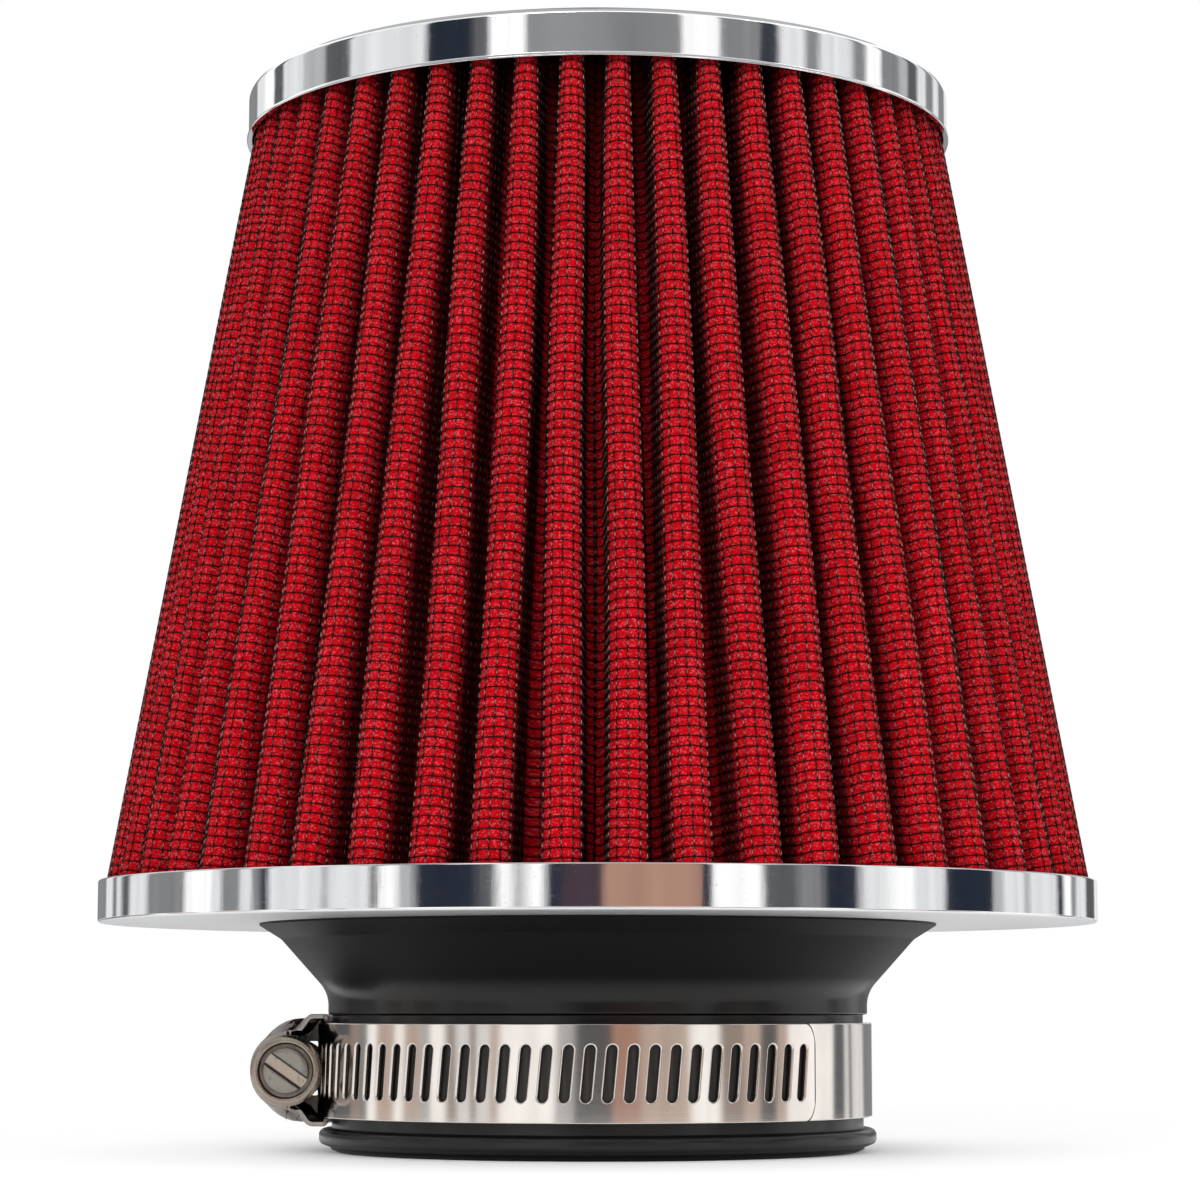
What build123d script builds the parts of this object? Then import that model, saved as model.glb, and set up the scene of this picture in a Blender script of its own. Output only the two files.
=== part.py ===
from build123d import *
import os
from math import acos, atan2, cos, degrees, radians, sin, sqrt, tan

# A cone air filter that stands on its neck, with a worm-drive hose clamp round the neck.
# Millimetres, Z up. The filter's axis is the Z axis and the foot of the neck stands on Z = 0.
# The front is -Y. The clamp's screw lies on the -X side of the neck, with its head to the front.

# Driving dimensions of the filter
inlet_diameter = 76.2
base_diameter = 150.0
cap_diameter = 108.0
neck_height = 33.9
base_rim_height = 6.2
open_height = 113.7
cap_rim_height = 7.1
steel_sheet = 0.6
edge_break = 0.5
cap_edge_flare = 0.3
cap_edge_height = 1.0
panel_depth = 1.2
panel_slope = 1.8
panel_clearance = 1.0
sealant_depth = 3.2
sealant_overlap = 1.6

# The folded pack
fold_count = 50
fold_phase = 3.2
fold_width_base = 5.6
fold_width_top = 4.5
fold_depth_base = 11.0
fold_depth_top = 8.0
mesh_thickness = 0.4
media_thickness = 1.2
pack_clearance = 0.12

# The neck
foot_height = 1.3
foot_wall = 2.5
bead_height = 2.7
bead_wall = 3.8
bead_chamfer = 0.7
bead_undercut = 1.1
groove_wall = 1.8
groove_height = 16.3
collar_wall = 2.8
collar_height = 3.4
flare_reach = 6.3
flare_bow = 0.32
flange_reach = 3.1
flange_slope = 0.9
flange_edge = 0.9
spigot_wall = 6.2
throat_drop = 0.7
throat_reach = 3.4

# The clamp
band_width = 13.9
band_thickness = 0.7
band_stand_off = 0.6
lap_gap = 0.15
lap_rise_angle = 62.0
lap_overlap_angle = 8.0
lap_end_clearance = 4.0
tail_angle = 139.0
tail_corner = 4.0
slot_length = 7.9
slot_width = 1.4
slot_pitch = 3.0
slot_margin = 2.7
slot_lean = 5.5
housing_length = 19.0
housing_end = 3.2
housing_sheet = 0.8
housing_clearance = 0.25
ear_reach = 1.2
dome_offset = 1.9
dome_radius = 7.6
dome_half_angle = 58.0
arch_half_angle = 100.0
hook_depth = 1.8
hook_length = 5.0
hook_clearance = 0.1
worm_radius = 3.35
worm_clearance = 0.3
journal_radius = 4.3
journal_length = 0.9
journal_clearance = 0.3
head_radius = 5.2
head_height = 3.0
head_stand_off = 2.8
head_chamfer = 0.6
socket_radius = 3.95
boss_radius = 3.35
socket_depth = 1.0
boss_drop = 0.2
driver_slot_width = 1.8
driver_slot_angle = -35.0

# Heights and radii that follow
inlet_radius = inlet_diameter / 2
base_radius = base_diameter / 2
cap_radius = cap_diameter / 2
base_floor = neck_height + steel_sheet
base_edge = neck_height + base_rim_height
cap_edge = base_edge + open_height
cap_top = cap_edge + cap_rim_height
pack_bottom = base_floor + sealant_depth
pack_top = cap_top - steel_sheet - sealant_depth
pack_thickness = mesh_thickness + media_thickness
groove_bottom = foot_height + bead_height
groove_top = groove_bottom + groove_height
groove_radius = inlet_radius + groove_wall
collar_top = groove_top + collar_height
collar_radius = inlet_radius + collar_wall
flare_rise = neck_height - flange_edge - flange_slope - collar_top
throat_height = collar_top - throat_drop
spigot_radius = inlet_radius + spigot_wall
band_level = groove_bottom + groove_height / 2
inner_lap_radius = groove_radius + band_stand_off + band_thickness / 2
outer_lap_radius = inner_lap_radius + band_thickness + lap_gap
band_outside = outer_lap_radius + band_thickness / 2
screw_reach = band_outside + worm_clearance + worm_radius

os.makedirs("parts", exist_ok=True)


def between(level, at_base, at_top):
    """A size of the pack that changes evenly from its lower end to the edge of the cap."""
    return at_base + (at_top - at_base) * (level - pack_bottom) / (cap_edge - pack_bottom)


def crest_radius(half_width, room):
    """Distance from the axis to a fold's crest that keeps the crest's corners inside a rim."""
    return sqrt(room**2 - (half_width * tan(radians(30))) ** 2)


# Where the folds' crests and the sealant's rings lie
base_room = base_radius - steel_sheet - pack_clearance
cap_room = cap_radius - steel_sheet - pack_clearance
base_crest = crest_radius(fold_width_base / 2, base_room)
cap_crest = crest_radius(fold_width_top / 2, cap_room)
base_ring_inside = base_crest - fold_depth_base - pack_thickness - sealant_overlap
top_ring_inside = cap_crest - fold_depth_top - pack_thickness - sealant_overlap


def fold_outline(level, inset):
    """Corners of the folded sheet's outline at a height, moved into the sheet by an inset.

    Each fold has parallel sides and a crest of three flats, and a flat valley lies between folds.
    """
    half_width = between(level, fold_width_base, fold_width_top) / 2
    crest = between(level, base_crest, cap_crest)
    valley = crest - between(level, fold_depth_base, fold_depth_top) - inset
    middle = crest - half_width
    half_width -= inset
    half_pitch = radians(180 / fold_count)
    root = (valley - half_width * sin(half_pitch)) / cos(half_pitch)
    shoulder = middle + half_width * tan(radians(15))
    flat = half_width * tan(radians(30))
    side = [(root, half_width), (shoulder, half_width), (middle + half_width, flat)]
    fold = [(reach, -across) for reach, across in side] + side[::-1]
    corners = []
    for index in range(fold_count):
        turn = radians(fold_phase - 90 + index * 360 / fold_count)
        for reach, across in fold:
            x = reach * cos(turn) - across * sin(turn)
            y = reach * sin(turn) + across * cos(turn)
            corners.append((x, y))
    return corners


def fold_sections(inset):
    """The areas inside the folded sheet's outline at the two ends of the pack."""
    sections = []
    for level in (pack_bottom, pack_top):
        with BuildSketch(Plane.XY.offset(level)) as section:
            with BuildLine():
                Polyline(*fold_outline(level, inset), close=True)
            make_face()
        sections.append(section.sketch)
    return sections


# Folded sheets, wire mesh outside and gauze inside
with BuildPart() as outer_mesh:
    loft(fold_sections(0), ruled=True)
    loft(fold_sections(mesh_thickness), ruled=True, mode=Mode.SUBTRACT)

with BuildPart() as filter_media:
    loft(fold_sections(mesh_thickness), ruled=True)
    loft(fold_sections(pack_thickness), ruled=True, mode=Mode.SUBTRACT)

# Cap, a stamped lid with a sunk panel and a flared lower edge
with BuildPart() as top_cap:
    panel_radius = top_ring_inside - panel_clearance
    with BuildSketch(Plane.XZ):
        with BuildLine():
            Polyline(
                (0, cap_top - panel_depth),
                (panel_radius - panel_slope, cap_top - panel_depth),
                (panel_radius, cap_top),
                (cap_radius - edge_break, cap_top),
                (cap_radius, cap_top - edge_break),
                (cap_radius, cap_edge + cap_edge_height),
                (cap_radius + cap_edge_flare, cap_edge),
                (cap_radius - steel_sheet, cap_edge),
                (cap_radius - steel_sheet, cap_top - steel_sheet),
                (panel_radius, cap_top - steel_sheet),
                (panel_radius - panel_slope, cap_top - panel_depth - steel_sheet),
                (0, cap_top - panel_depth - steel_sheet),
                close=True,
            )
        make_face()
    revolve(axis=Axis.Z)

# Base ring, a shallow pan with a hole for the neck
with BuildPart() as base_ring:
    with BuildSketch(Plane.XZ):
        with BuildLine():
            Polyline(
                (spigot_radius, neck_height),
                (base_radius - edge_break, neck_height),
                (base_radius, neck_height + edge_break),
                (base_radius, base_edge),
                (base_radius - steel_sheet, base_edge),
                (base_radius - steel_sheet, base_floor),
                (spigot_radius, base_floor),
                close=True,
            )
        make_face()
    revolve(axis=Axis.Z)

# Sealant, poured against the ends of the folds
with BuildPart() as base_sealant:
    with BuildSketch(Plane.XY.offset(base_floor)):
        Circle(base_radius - steel_sheet)
        Circle(base_ring_inside, mode=Mode.SUBTRACT)
    extrude(amount=sealant_depth)

with BuildPart() as top_sealant:
    with BuildSketch(Plane.XY.offset(pack_top)):
        Circle(cap_radius - steel_sheet)
        Circle(top_ring_inside, mode=Mode.SUBTRACT)
    extrude(amount=sealant_depth)

# Neck, one moulding from the foot to the spigot in the base ring
with BuildPart() as neck:
    bead_radius = inlet_radius + bead_wall
    foot_radius = inlet_radius + foot_wall
    flare_start = Vector(collar_radius, collar_top)
    flare_end = flare_start + Vector(flare_reach, flare_rise)
    flare_middle = (flare_start + flare_end) / 2 + Vector(-flare_bow, flare_bow)
    flange_radius = flare_end.X + flange_reach
    with BuildSketch(Plane.XZ):
        with BuildLine():
            Polyline(
                (inlet_radius, 0),
                (foot_radius, 0),
                (foot_radius, foot_height),
                (bead_radius, foot_height + bead_undercut),
                (bead_radius, groove_bottom - bead_chamfer),
                (bead_radius - bead_chamfer, groove_bottom),
                (groove_radius, groove_bottom),
                (groove_radius, groove_top),
                (collar_radius, groove_top),
                flare_start,
            )
            ThreePointArc(flare_start, flare_middle, flare_end)
            Polyline(
                flare_end,
                (flange_radius, flare_end.Y + flange_slope),
                (flange_radius, neck_height),
                (spigot_radius, neck_height),
                (spigot_radius, base_floor),
                (inlet_radius + throat_reach, base_floor),
                (inlet_radius, throat_height),
                (inlet_radius, 0),
            )
        make_face()
    revolve(axis=Axis.Z)


def climb_turn(shift):
    """Angle at which the climbing arc meets the outer lap, at an edge of the strip."""
    low = inner_lap_radius + climb_offset + shift
    high = outer_lap_radius + shift
    return degrees(acos((low**2 - high**2 - climb_offset**2) / (2 * climb_offset * high)))


def lap_edge(shift):
    """One edge of the wound strip: the inner lap, the climb and the outer lap, as three arcs."""
    turn = climb_turn(shift)
    high = outer_lap_radius + shift
    centre = Vector(-climb_offset, 0).rotate(Axis.Z, climb_start)
    climb_size = degrees(atan2(high * sin(radians(turn)), high * cos(radians(turn)) + climb_offset))
    return (
        CenterArc((0, 0), inner_lap_radius + shift, head_angle, climb_start - head_angle),
        CenterArc(centre, inner_lap_radius + climb_offset + shift, climb_start, climb_size),
        CenterArc((0, 0), high, climb_start + turn, tail_end - climb_start - turn),
    )


# Clamp band, one strip whose slotted tail lies over its own plain start
housing_angle = -180.0
tail_end = housing_angle + 360 + tail_angle
head_angle = housing_angle - lap_overlap_angle
climb_start = housing_angle + 360 - lap_overlap_angle - lap_end_clearance - lap_rise_angle
climb_offset = (outer_lap_radius - inner_lap_radius) / (1 - cos(radians(lap_rise_angle)))
slot_turn = degrees(slot_pitch / band_outside)
slot_floor = inner_lap_radius + (band_thickness + lap_gap) / 2
slot_count = int((tail_angle + lap_overlap_angle) / slot_turn)
first_slot = tail_end - degrees(slot_margin / band_outside) - (slot_count - 1) * slot_turn

with BuildPart(mode=Mode.PRIVATE) as slot_cutter:
    slot_face = Plane(origin=(slot_floor, 0, band_level), x_dir=(0, 1, 0), z_dir=(1, 0, 0))
    slot_side = (slot_length - slot_width) / 2
    slot_corners = (
        (-slot_width / 2, -slot_side),
        (0, -slot_length / 2),
        (slot_width / 2, -slot_side),
        (slot_width / 2, slot_side),
        (0, slot_length / 2),
        (-slot_width / 2, slot_side),
    )
    with BuildSketch(slot_face):
        Polygon(*slot_corners, rotation=-slot_lean)
    extrude(amount=2 * band_thickness)

with BuildPart() as clamp_band:
    with BuildSketch(Plane.XY.offset(band_level)):
        with BuildLine():
            inside = lap_edge(-band_thickness / 2)
            outside = lap_edge(band_thickness / 2)
            Line(inside[0] @ 0, outside[0] @ 0)
            Line(inside[-1] @ 1, outside[-1] @ 1)
        make_face()
    extrude(amount=band_width / 2, both=True)
    tail_tip = Vector(outer_lap_radius, 0, band_level).rotate(Axis.Z, tail_end)
    tail_face = clamp_band.faces().sort_by_distance(tail_tip)[0]
    fillet(tail_face.edges().group_by(SortBy.LENGTH)[0], tail_corner)
    with PolarLocations(0, slot_count, first_slot, (slot_count - 1) * slot_turn, endpoint=True):
        add(slot_cutter.part, mode=Mode.SUBTRACT)


# The housing's ears, and the hooks that they turn in behind the band
ear_outside = band_width / 2 + housing_clearance + housing_sheet
hook_height = housing_sheet + housing_clearance + hook_depth
hook_sag = hook_length**2 / (8 * groove_radius)
hook_thickness = band_stand_off - 2 * hook_clearance - hook_sag


def housing_section(along, centre, radius, half_angle, inset):
    """The area across the clamp's housing: a roof over the screw and an ear at each edge of the band."""
    ear = ear_outside - inset
    ear_end = groove_radius + 2 * hook_clearance
    ear_foot = band_outside + ear_reach
    with BuildSketch(Plane(origin=(0, along, band_level), x_dir=(-1, 0, 0), z_dir=(0, 1, 0))) as section:
        with BuildLine():
            Line((ear_end, ear), (ear_end, -ear))
            Line((ear_end, -ear), (ear_foot, -ear))
            roof = CenterArc((centre, 0), radius - inset, -half_angle, 2 * half_angle)
            Line((ear_foot, -ear), roof @ 0)
            Line(roof @ 1, (ear_foot, ear))
            Line((ear_foot, ear), (ear_end, ear))
        make_face()
    return section.sketch


def housing_sections(inset):
    """Areas along the housing: a wide dome over the worm that narrows to an arch at each end."""
    reach = housing_length / 2
    dome = (screw_reach - dome_offset, dome_radius, dome_half_angle)
    arch = (screw_reach, journal_radius + journal_clearance + housing_sheet, arch_half_angle)
    stations = ((-reach, arch), (housing_end - reach, dome), (reach - housing_end, dome), (reach, arch))
    return [housing_section(along, *section, inset) for along, section in stations]


# Clamp housing, a pressed saddle whose ears hook round the band's edges
with BuildPart() as clamp_housing:
    loft(housing_sections(0), ruled=True)
    loft(housing_sections(housing_sheet), ruled=True, mode=Mode.SUBTRACT)
    for side in (-1, 1):
        with BuildSketch(Plane.YZ.offset(-groove_radius - hook_clearance)):
            with Locations((0, band_level + side * (ear_outside - hook_height / 2))):
                Rectangle(hook_length, hook_height)
        extrude(amount=-hook_thickness)

# Clamp screw, a plain worm between two journals, with a socketed head and a driver slot
with BuildPart() as clamp_screw:
    screw_plane = Plane(origin=(-screw_reach, 0, band_level), x_dir=(0, -1, 0), z_dir=(-1, 0, 0))
    journal_end = housing_length / 2 + journal_clearance
    head_back = housing_length / 2 + head_stand_off
    head_front = head_back + head_height
    with BuildSketch(screw_plane):
        with BuildLine():
            Polyline(
                (-journal_end, 0),
                (-journal_end, journal_radius),
                (journal_length - journal_end, journal_radius),
                (journal_length - journal_end, worm_radius),
                (journal_end - journal_length, worm_radius),
                (journal_end - journal_length, journal_radius),
                (head_back, journal_radius),
                (head_back, head_radius),
                (head_front - head_chamfer, head_radius),
                (head_front, head_radius - head_chamfer),
                (head_front, socket_radius),
                (head_front - socket_depth, socket_radius),
                (head_front - socket_depth, boss_radius),
                (head_front - boss_drop, boss_radius),
                (head_front - boss_drop, 0),
                close=True,
            )
        make_face()
    revolve(axis=Axis((-screw_reach, 0, band_level), (0, 1, 0)))
    head_face = Plane(origin=(-screw_reach, -head_front, band_level), x_dir=(1, 0, 0), z_dir=(0, -1, 0))
    with BuildSketch(head_face):
        Rectangle(2 * socket_radius, driver_slot_width, rotation=driver_slot_angle)
    extrude(amount=-socket_depth, mode=Mode.SUBTRACT)

pieces = {
    "top_cap": top_cap,
    "top_sealant": top_sealant,
    "outer_mesh": outer_mesh,
    "filter_media": filter_media,
    "base_sealant": base_sealant,
    "base_ring": base_ring,
    "neck": neck,
    "clamp_band": clamp_band,
    "clamp_housing": clamp_housing,
    "clamp_screw": clamp_screw,
}
for name, piece in pieces.items():
    piece.part.label = name
    export_step(piece.part, f"parts/{name}.step")
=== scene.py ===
"""Looks of a cone air filter that stands on its neck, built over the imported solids.

Metres, with Z up. The filter's axis is the Z axis, the foot of the neck stands on Z = 0, the front
is -Y, and the clamp's screw lies on the -X side. Sizes in the classes are in millimetres.
"""

from __future__ import annotations

import logging
import math
from dataclasses import dataclass, field
from enum import Enum
from typing import Sequence

import bmesh
import bpy
import numpy as np
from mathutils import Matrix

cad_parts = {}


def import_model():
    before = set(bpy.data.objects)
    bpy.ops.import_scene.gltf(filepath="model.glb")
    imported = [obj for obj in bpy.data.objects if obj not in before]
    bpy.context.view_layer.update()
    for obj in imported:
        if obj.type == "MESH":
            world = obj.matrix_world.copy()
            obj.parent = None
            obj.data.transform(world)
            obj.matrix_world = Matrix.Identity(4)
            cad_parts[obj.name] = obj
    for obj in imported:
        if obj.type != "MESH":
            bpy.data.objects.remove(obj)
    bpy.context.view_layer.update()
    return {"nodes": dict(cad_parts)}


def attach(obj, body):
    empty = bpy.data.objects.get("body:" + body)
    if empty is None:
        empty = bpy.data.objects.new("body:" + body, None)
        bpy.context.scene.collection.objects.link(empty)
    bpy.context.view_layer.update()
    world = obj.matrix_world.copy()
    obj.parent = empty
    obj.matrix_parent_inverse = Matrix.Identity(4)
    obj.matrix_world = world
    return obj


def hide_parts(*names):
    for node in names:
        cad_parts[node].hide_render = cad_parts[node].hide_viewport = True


Array = np.ndarray
Colour = tuple[float, float, float]
LOG = logging.getLogger("cone_filter")
MM = 0.001
TURN = 2 * math.pi
PATTERN = "pattern"
WELD_GAP = 2e-7
FACE_SLACK = 0.004
FACE_MARGIN = 0.01
LEAST_GUARD = 0.002
GUARD_OF_ROUNDING = 0.25
GUARD_OF_EDGE = 0.2


class Body(str, Enum):
    """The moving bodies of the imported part."""

    FILTER = "filter"
    SCREW = "screw"


class Slot(str, Enum):
    """The record's material slots of the parts that the scene's own pieces stand for."""

    CAP = "chrome_cap"
    RING = "chrome_ring"
    MESH = "coated_mesh"
    GAUZE = "red_gauze"
    RUBBER = "black_rubber"
    CLAMP = "clamp_steel"
    SCREW = "screw_steel"


def smoothstep(value: Array, low: float, high: float) -> Array:
    """Rises smoothly from 0 at low to 1 at high.

    Args:
        value: Where to work it out.
        low: Value at which the rise starts.
        high: Value at which it ends.

    Returns:
        The cubic 3t^2 - 2t^3 of the share t of the way from low to high.
    """
    share = np.clip((value - low) / (high - low), 0, 1)
    return share * share * (3 - 2 * share)


def between(ends: tuple[float, float], share: Array) -> Array:
    """The value a share of the way from the first end to the second."""
    return ends[0] + (ends[1] - ends[0]) * share


def metres(x: Array, y: Array, z: Array) -> Array:
    """Points in metres from coordinates in millimetres, which are spread over each other's axes."""
    return np.stack(np.broadcast_arrays(x, y, z), -1) * MM


def shaded(colour: Colour, share: float) -> Colour:
    """A colour times a number."""
    return tuple(part * share for part in colour)


def added(name: str, data: bpy.types.ID) -> bpy.types.Object:
    """A new object in the scene."""
    thing = bpy.data.objects.new(name, data)
    bpy.context.scene.collection.objects.link(thing)
    return thing


def rounded(corners: Sequence[tuple[float, float, float]], closed: bool = True, steps: int = 6) -> Array:
    """A flat outline whose corners are arcs tangent to both sides.

    Each corner gives two coordinates and a rounding. The arc's centre lies on the corner's bisector at the
    rounding over the sine of the half angle. A guard point beyond each end of the arc keeps the flats flat:
    it lies a share of the rounding away, or a share of what is left of the shorter side if that is less.

    Args:
        corners: Two coordinates and a rounding for each corner, in order.
        closed: Whether the last corner joins the first. An open outline keeps its end corners sharp.
        steps: Segments in each arc.

    Returns:
        Points of the outline, one row each.
    """
    places = np.array([corner[:2] for corner in corners], float)
    parts = []
    for index, (x, y, size) in enumerate(corners):
        here = np.array((x, y))
        if size <= 0 or (not closed and index in (0, len(corners) - 1)):
            parts.append(here[None])
            continue
        back = places[index - 1] - here
        onward = places[(index + 1) % len(corners)] - here
        lengths = np.linalg.norm(back), np.linalg.norm(onward)
        back, onward = back / lengths[0], onward / lengths[1]
        half = math.acos(np.clip(back @ onward, -1, 1)) / 2
        tangent = size / math.tan(half)
        middle = here + (back + onward) / np.linalg.norm(back + onward) * size / math.sin(half)
        first, last = here + back * tangent - middle, here + onward * tangent - middle
        sweep = math.pi - 2 * half
        share = np.linspace(0, 1, steps + 1)[:, None]
        arc = (np.sin((1 - share) * sweep) * first + np.sin(share * sweep) * last) / math.sin(sweep)
        guard = max(LEAST_GUARD, min(GUARD_OF_ROUNDING * size, GUARD_OF_EDGE * (min(lengths) - tangent)))
        ends = [here + side * (tangent + guard) for side in (back, onward)]
        parts.append(np.vstack([ends[0], middle + arc, ends[1]]))
    return np.vstack(parts)


@dataclass
class Surface:
    """A grid of points that becomes quads, with optional coordinates for a pattern.

    Attributes:
        points: Rows by columns by three, in metres.
        closed_rows: Whether the last row joins the first.
        closed_columns: Whether the last column joins the first.
        pattern: Rows by columns by two, the pattern's coordinates.
    """

    points: Array
    closed_rows: bool = False
    closed_columns: bool = False
    pattern: Array | None = None

    def quads(self) -> Array:
        """Indices of each quad's corners, from each grid cell's four neighbours."""
        rows, columns = self.points.shape[:2]
        row, column = np.meshgrid(
            np.arange(rows if self.closed_rows else rows - 1),
            np.arange(columns if self.closed_columns else columns - 1),
            indexing="ij",
        )
        here, under = row * columns, (row + 1) % rows * columns
        beside = (column + 1) % columns
        corners = here + column, here + beside, under + beside, under + column
        return np.stack(corners, -1).reshape(-1, 4)


class Piece:
    """A named mesh made of one or more surfaces."""

    def __init__(self, name: str, *surfaces: Surface) -> None:
        """Keeps the name and the surfaces.

        Args:
            name: The object's name.
            surfaces: Grids that make up the mesh.
        """
        self.name = name
        self.surfaces = list(surfaces)

    def mesh(self, weld: bool) -> bpy.types.Mesh:
        """Puts the surfaces into one mesh.

        Args:
            weld: Whether points in the same place are merged and the faces turned outwards.

        Returns:
            A smooth-shaded mesh, with a map named pattern where the surfaces have one.
        """
        starts = np.cumsum([0] + [surface.points[..., 0].size for surface in self.surfaces[:-1]])
        points = np.vstack([surface.points.reshape(-1, 3) for surface in self.surfaces])
        quads = np.vstack([surface.quads() + start for surface, start in zip(self.surfaces, starts)])
        mesh = bpy.data.meshes.new(self.name)
        mesh.vertices.add(len(points))
        mesh.vertices.foreach_set("co", points.astype(np.float32).ravel())
        mesh.loops.add(quads.size)
        mesh.loops.foreach_set("vertex_index", quads.astype(np.int32).ravel())
        mesh.polygons.add(len(quads))
        mesh.polygons.foreach_set("loop_start", np.arange(0, quads.size, 4, dtype=np.int32))
        if self.surfaces[0].pattern is not None:
            pattern = np.vstack([surface.pattern.reshape(-1, 2) for surface in self.surfaces])
            layer = mesh.uv_layers.new(name=PATTERN)
            layer.uv.foreach_set("vector", pattern[quads.ravel()].astype(np.float32).ravel())
        mesh.update(calc_edges=True)
        if weld:
            self.weld(mesh)
        mesh.shade_smooth()
        return mesh

    @staticmethod
    def weld(mesh: bpy.types.Mesh) -> None:
        """Merges points in the same place, which closes seams and poles, and turns the faces outwards."""
        shape = bmesh.new()
        shape.from_mesh(mesh)
        bmesh.ops.remove_doubles(shape, verts=shape.verts, dist=WELD_GAP)
        bmesh.ops.recalc_face_normals(shape, faces=shape.faces)
        shape.to_mesh(mesh)
        shape.free()

    @staticmethod
    def face_out(mesh: bpy.types.Mesh, radii: Sequence[float], reach: tuple[float, float]) -> None:
        """Gives points of a drum's flat face their true normals, square to the Z axis.

        Args:
            mesh: The mesh, already welded.
            radii: Radii of the faces, in millimetres.
            reach: Lowest and highest height of the faces, in millimetres.
        """
        points = np.empty(len(mesh.vertices) * 3, np.float32)
        normals = np.empty_like(points)
        mesh.vertices.foreach_get("co", points)
        mesh.vertices.foreach_get("normal", normals)
        points, normals = points.reshape(-1, 3), normals.reshape(-1, 3)
        radius = np.hypot(points[:, 0], points[:, 1])
        near = np.min(np.abs(radius[:, None] - np.array(radii) * MM), 1) < FACE_SLACK * MM
        inside = (points[:, 2] > reach[0] * MM) & (points[:, 2] < reach[1] * MM)
        flat = points * (1, 1, 0) / radius[:, None]
        mesh.normals_split_custom_set_from_vertices(np.where((near & inside)[:, None], flat, normals))

    def build(
        self,
        finish: bpy.types.Material,
        body: Body,
        slot: Slot,
        replaced: Sequence[str] = (),
        weld: bool = True,
    ) -> bpy.types.Object:
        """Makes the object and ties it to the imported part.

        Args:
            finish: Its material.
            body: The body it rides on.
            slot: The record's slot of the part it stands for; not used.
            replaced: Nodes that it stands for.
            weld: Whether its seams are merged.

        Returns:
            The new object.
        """
        mesh = self.mesh(weld)
        mesh.materials.append(finish)
        piece = added(self.name, mesh)
        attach(piece, body.value)
        if replaced:
            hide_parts(*replaced)
        LOG.info("%s: %d faces on %s", self.name, len(mesh.polygons), body.value)
        return piece


def lathe(profile: Array, steps: int, closed: bool = True) -> Surface:
    """Turns a profile about the Z axis.

    Args:
        profile: Radius and height of each point, in millimetres.
        steps: Segments round the axis.
        closed: Whether the profile is a closed outline. An open one starts and ends on the axis.

    Returns:
        The surface, where a point is the radius times the angle's cosine and sine, with the height.
    """
    angle = np.linspace(0, TURN, steps + 1)
    radius, height = profile[:, :1], profile[:, 1:]
    return Surface(metres(radius * np.cos(angle), radius * np.sin(angle), height), closed_rows=closed)


class Value:
    """A shader socket that holds a number, with arithmetic that adds Math nodes."""

    def __init__(self, graph: Graph, socket: bpy.types.NodeSocket) -> None:
        """Keeps the socket and the graph it belongs to."""
        self.graph = graph
        self.socket = socket

    def math(self, operation: str, *others: Value | float) -> Value:
        """Adds a Math node.

        Args:
            operation: The node's operation.
            others: Its further operands.

        Returns:
            The node's result.
        """
        node = self.graph.node("ShaderNodeMath", dict(enumerate((self, *others))), operation=operation)
        return Value(self.graph, node.outputs[0])

    def __add__(self, other: Value | float) -> Value:
        """The sum."""
        return self.math("ADD", other)

    __radd__ = __add__

    def __sub__(self, other: Value | float) -> Value:
        """The difference."""
        return self.math("SUBTRACT", other)

    def __rsub__(self, other: float) -> Value:
        """A number less this."""
        return (self * -1.0) + other

    def __mul__(self, other: Value | float) -> Value:
        """The product."""
        return self.math("MULTIPLY", other)

    __rmul__ = __mul__

    def __truediv__(self, other: Value | float) -> Value:
        """The quotient."""
        return self.math("DIVIDE", other)

    def __pow__(self, other: float) -> Value:
        """The power."""
        return self.math("POWER", other)

    def absolute(self) -> Value:
        """The size without its sign."""
        return self.math("ABSOLUTE")

    def from_middle(self) -> Value:
        """How far it lies from the middle of its whole step, up to 1 at the step's ends."""
        return (self.math("FRACT") - 0.5).absolute() * 2

    def least(self, other: Value | float) -> Value:
        """The smaller of two."""
        return self.math("MINIMUM", other)

    def most(self, other: Value | float) -> Value:
        """The larger of two."""
        return self.math("MAXIMUM", other)

    def step(self, low: float, high: float) -> Value:
        """Rises smoothly from 0 at low to 1 at high."""
        sockets = {"Value": self, "From Min": low, "From Max": high}
        node = self.graph.node("ShaderNodeMapRange", sockets, interpolation_type="SMOOTHSTEP")
        return Value(self.graph, node.outputs["Result"])


Link = Value | bpy.types.NodeSocket | float | tuple


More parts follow.
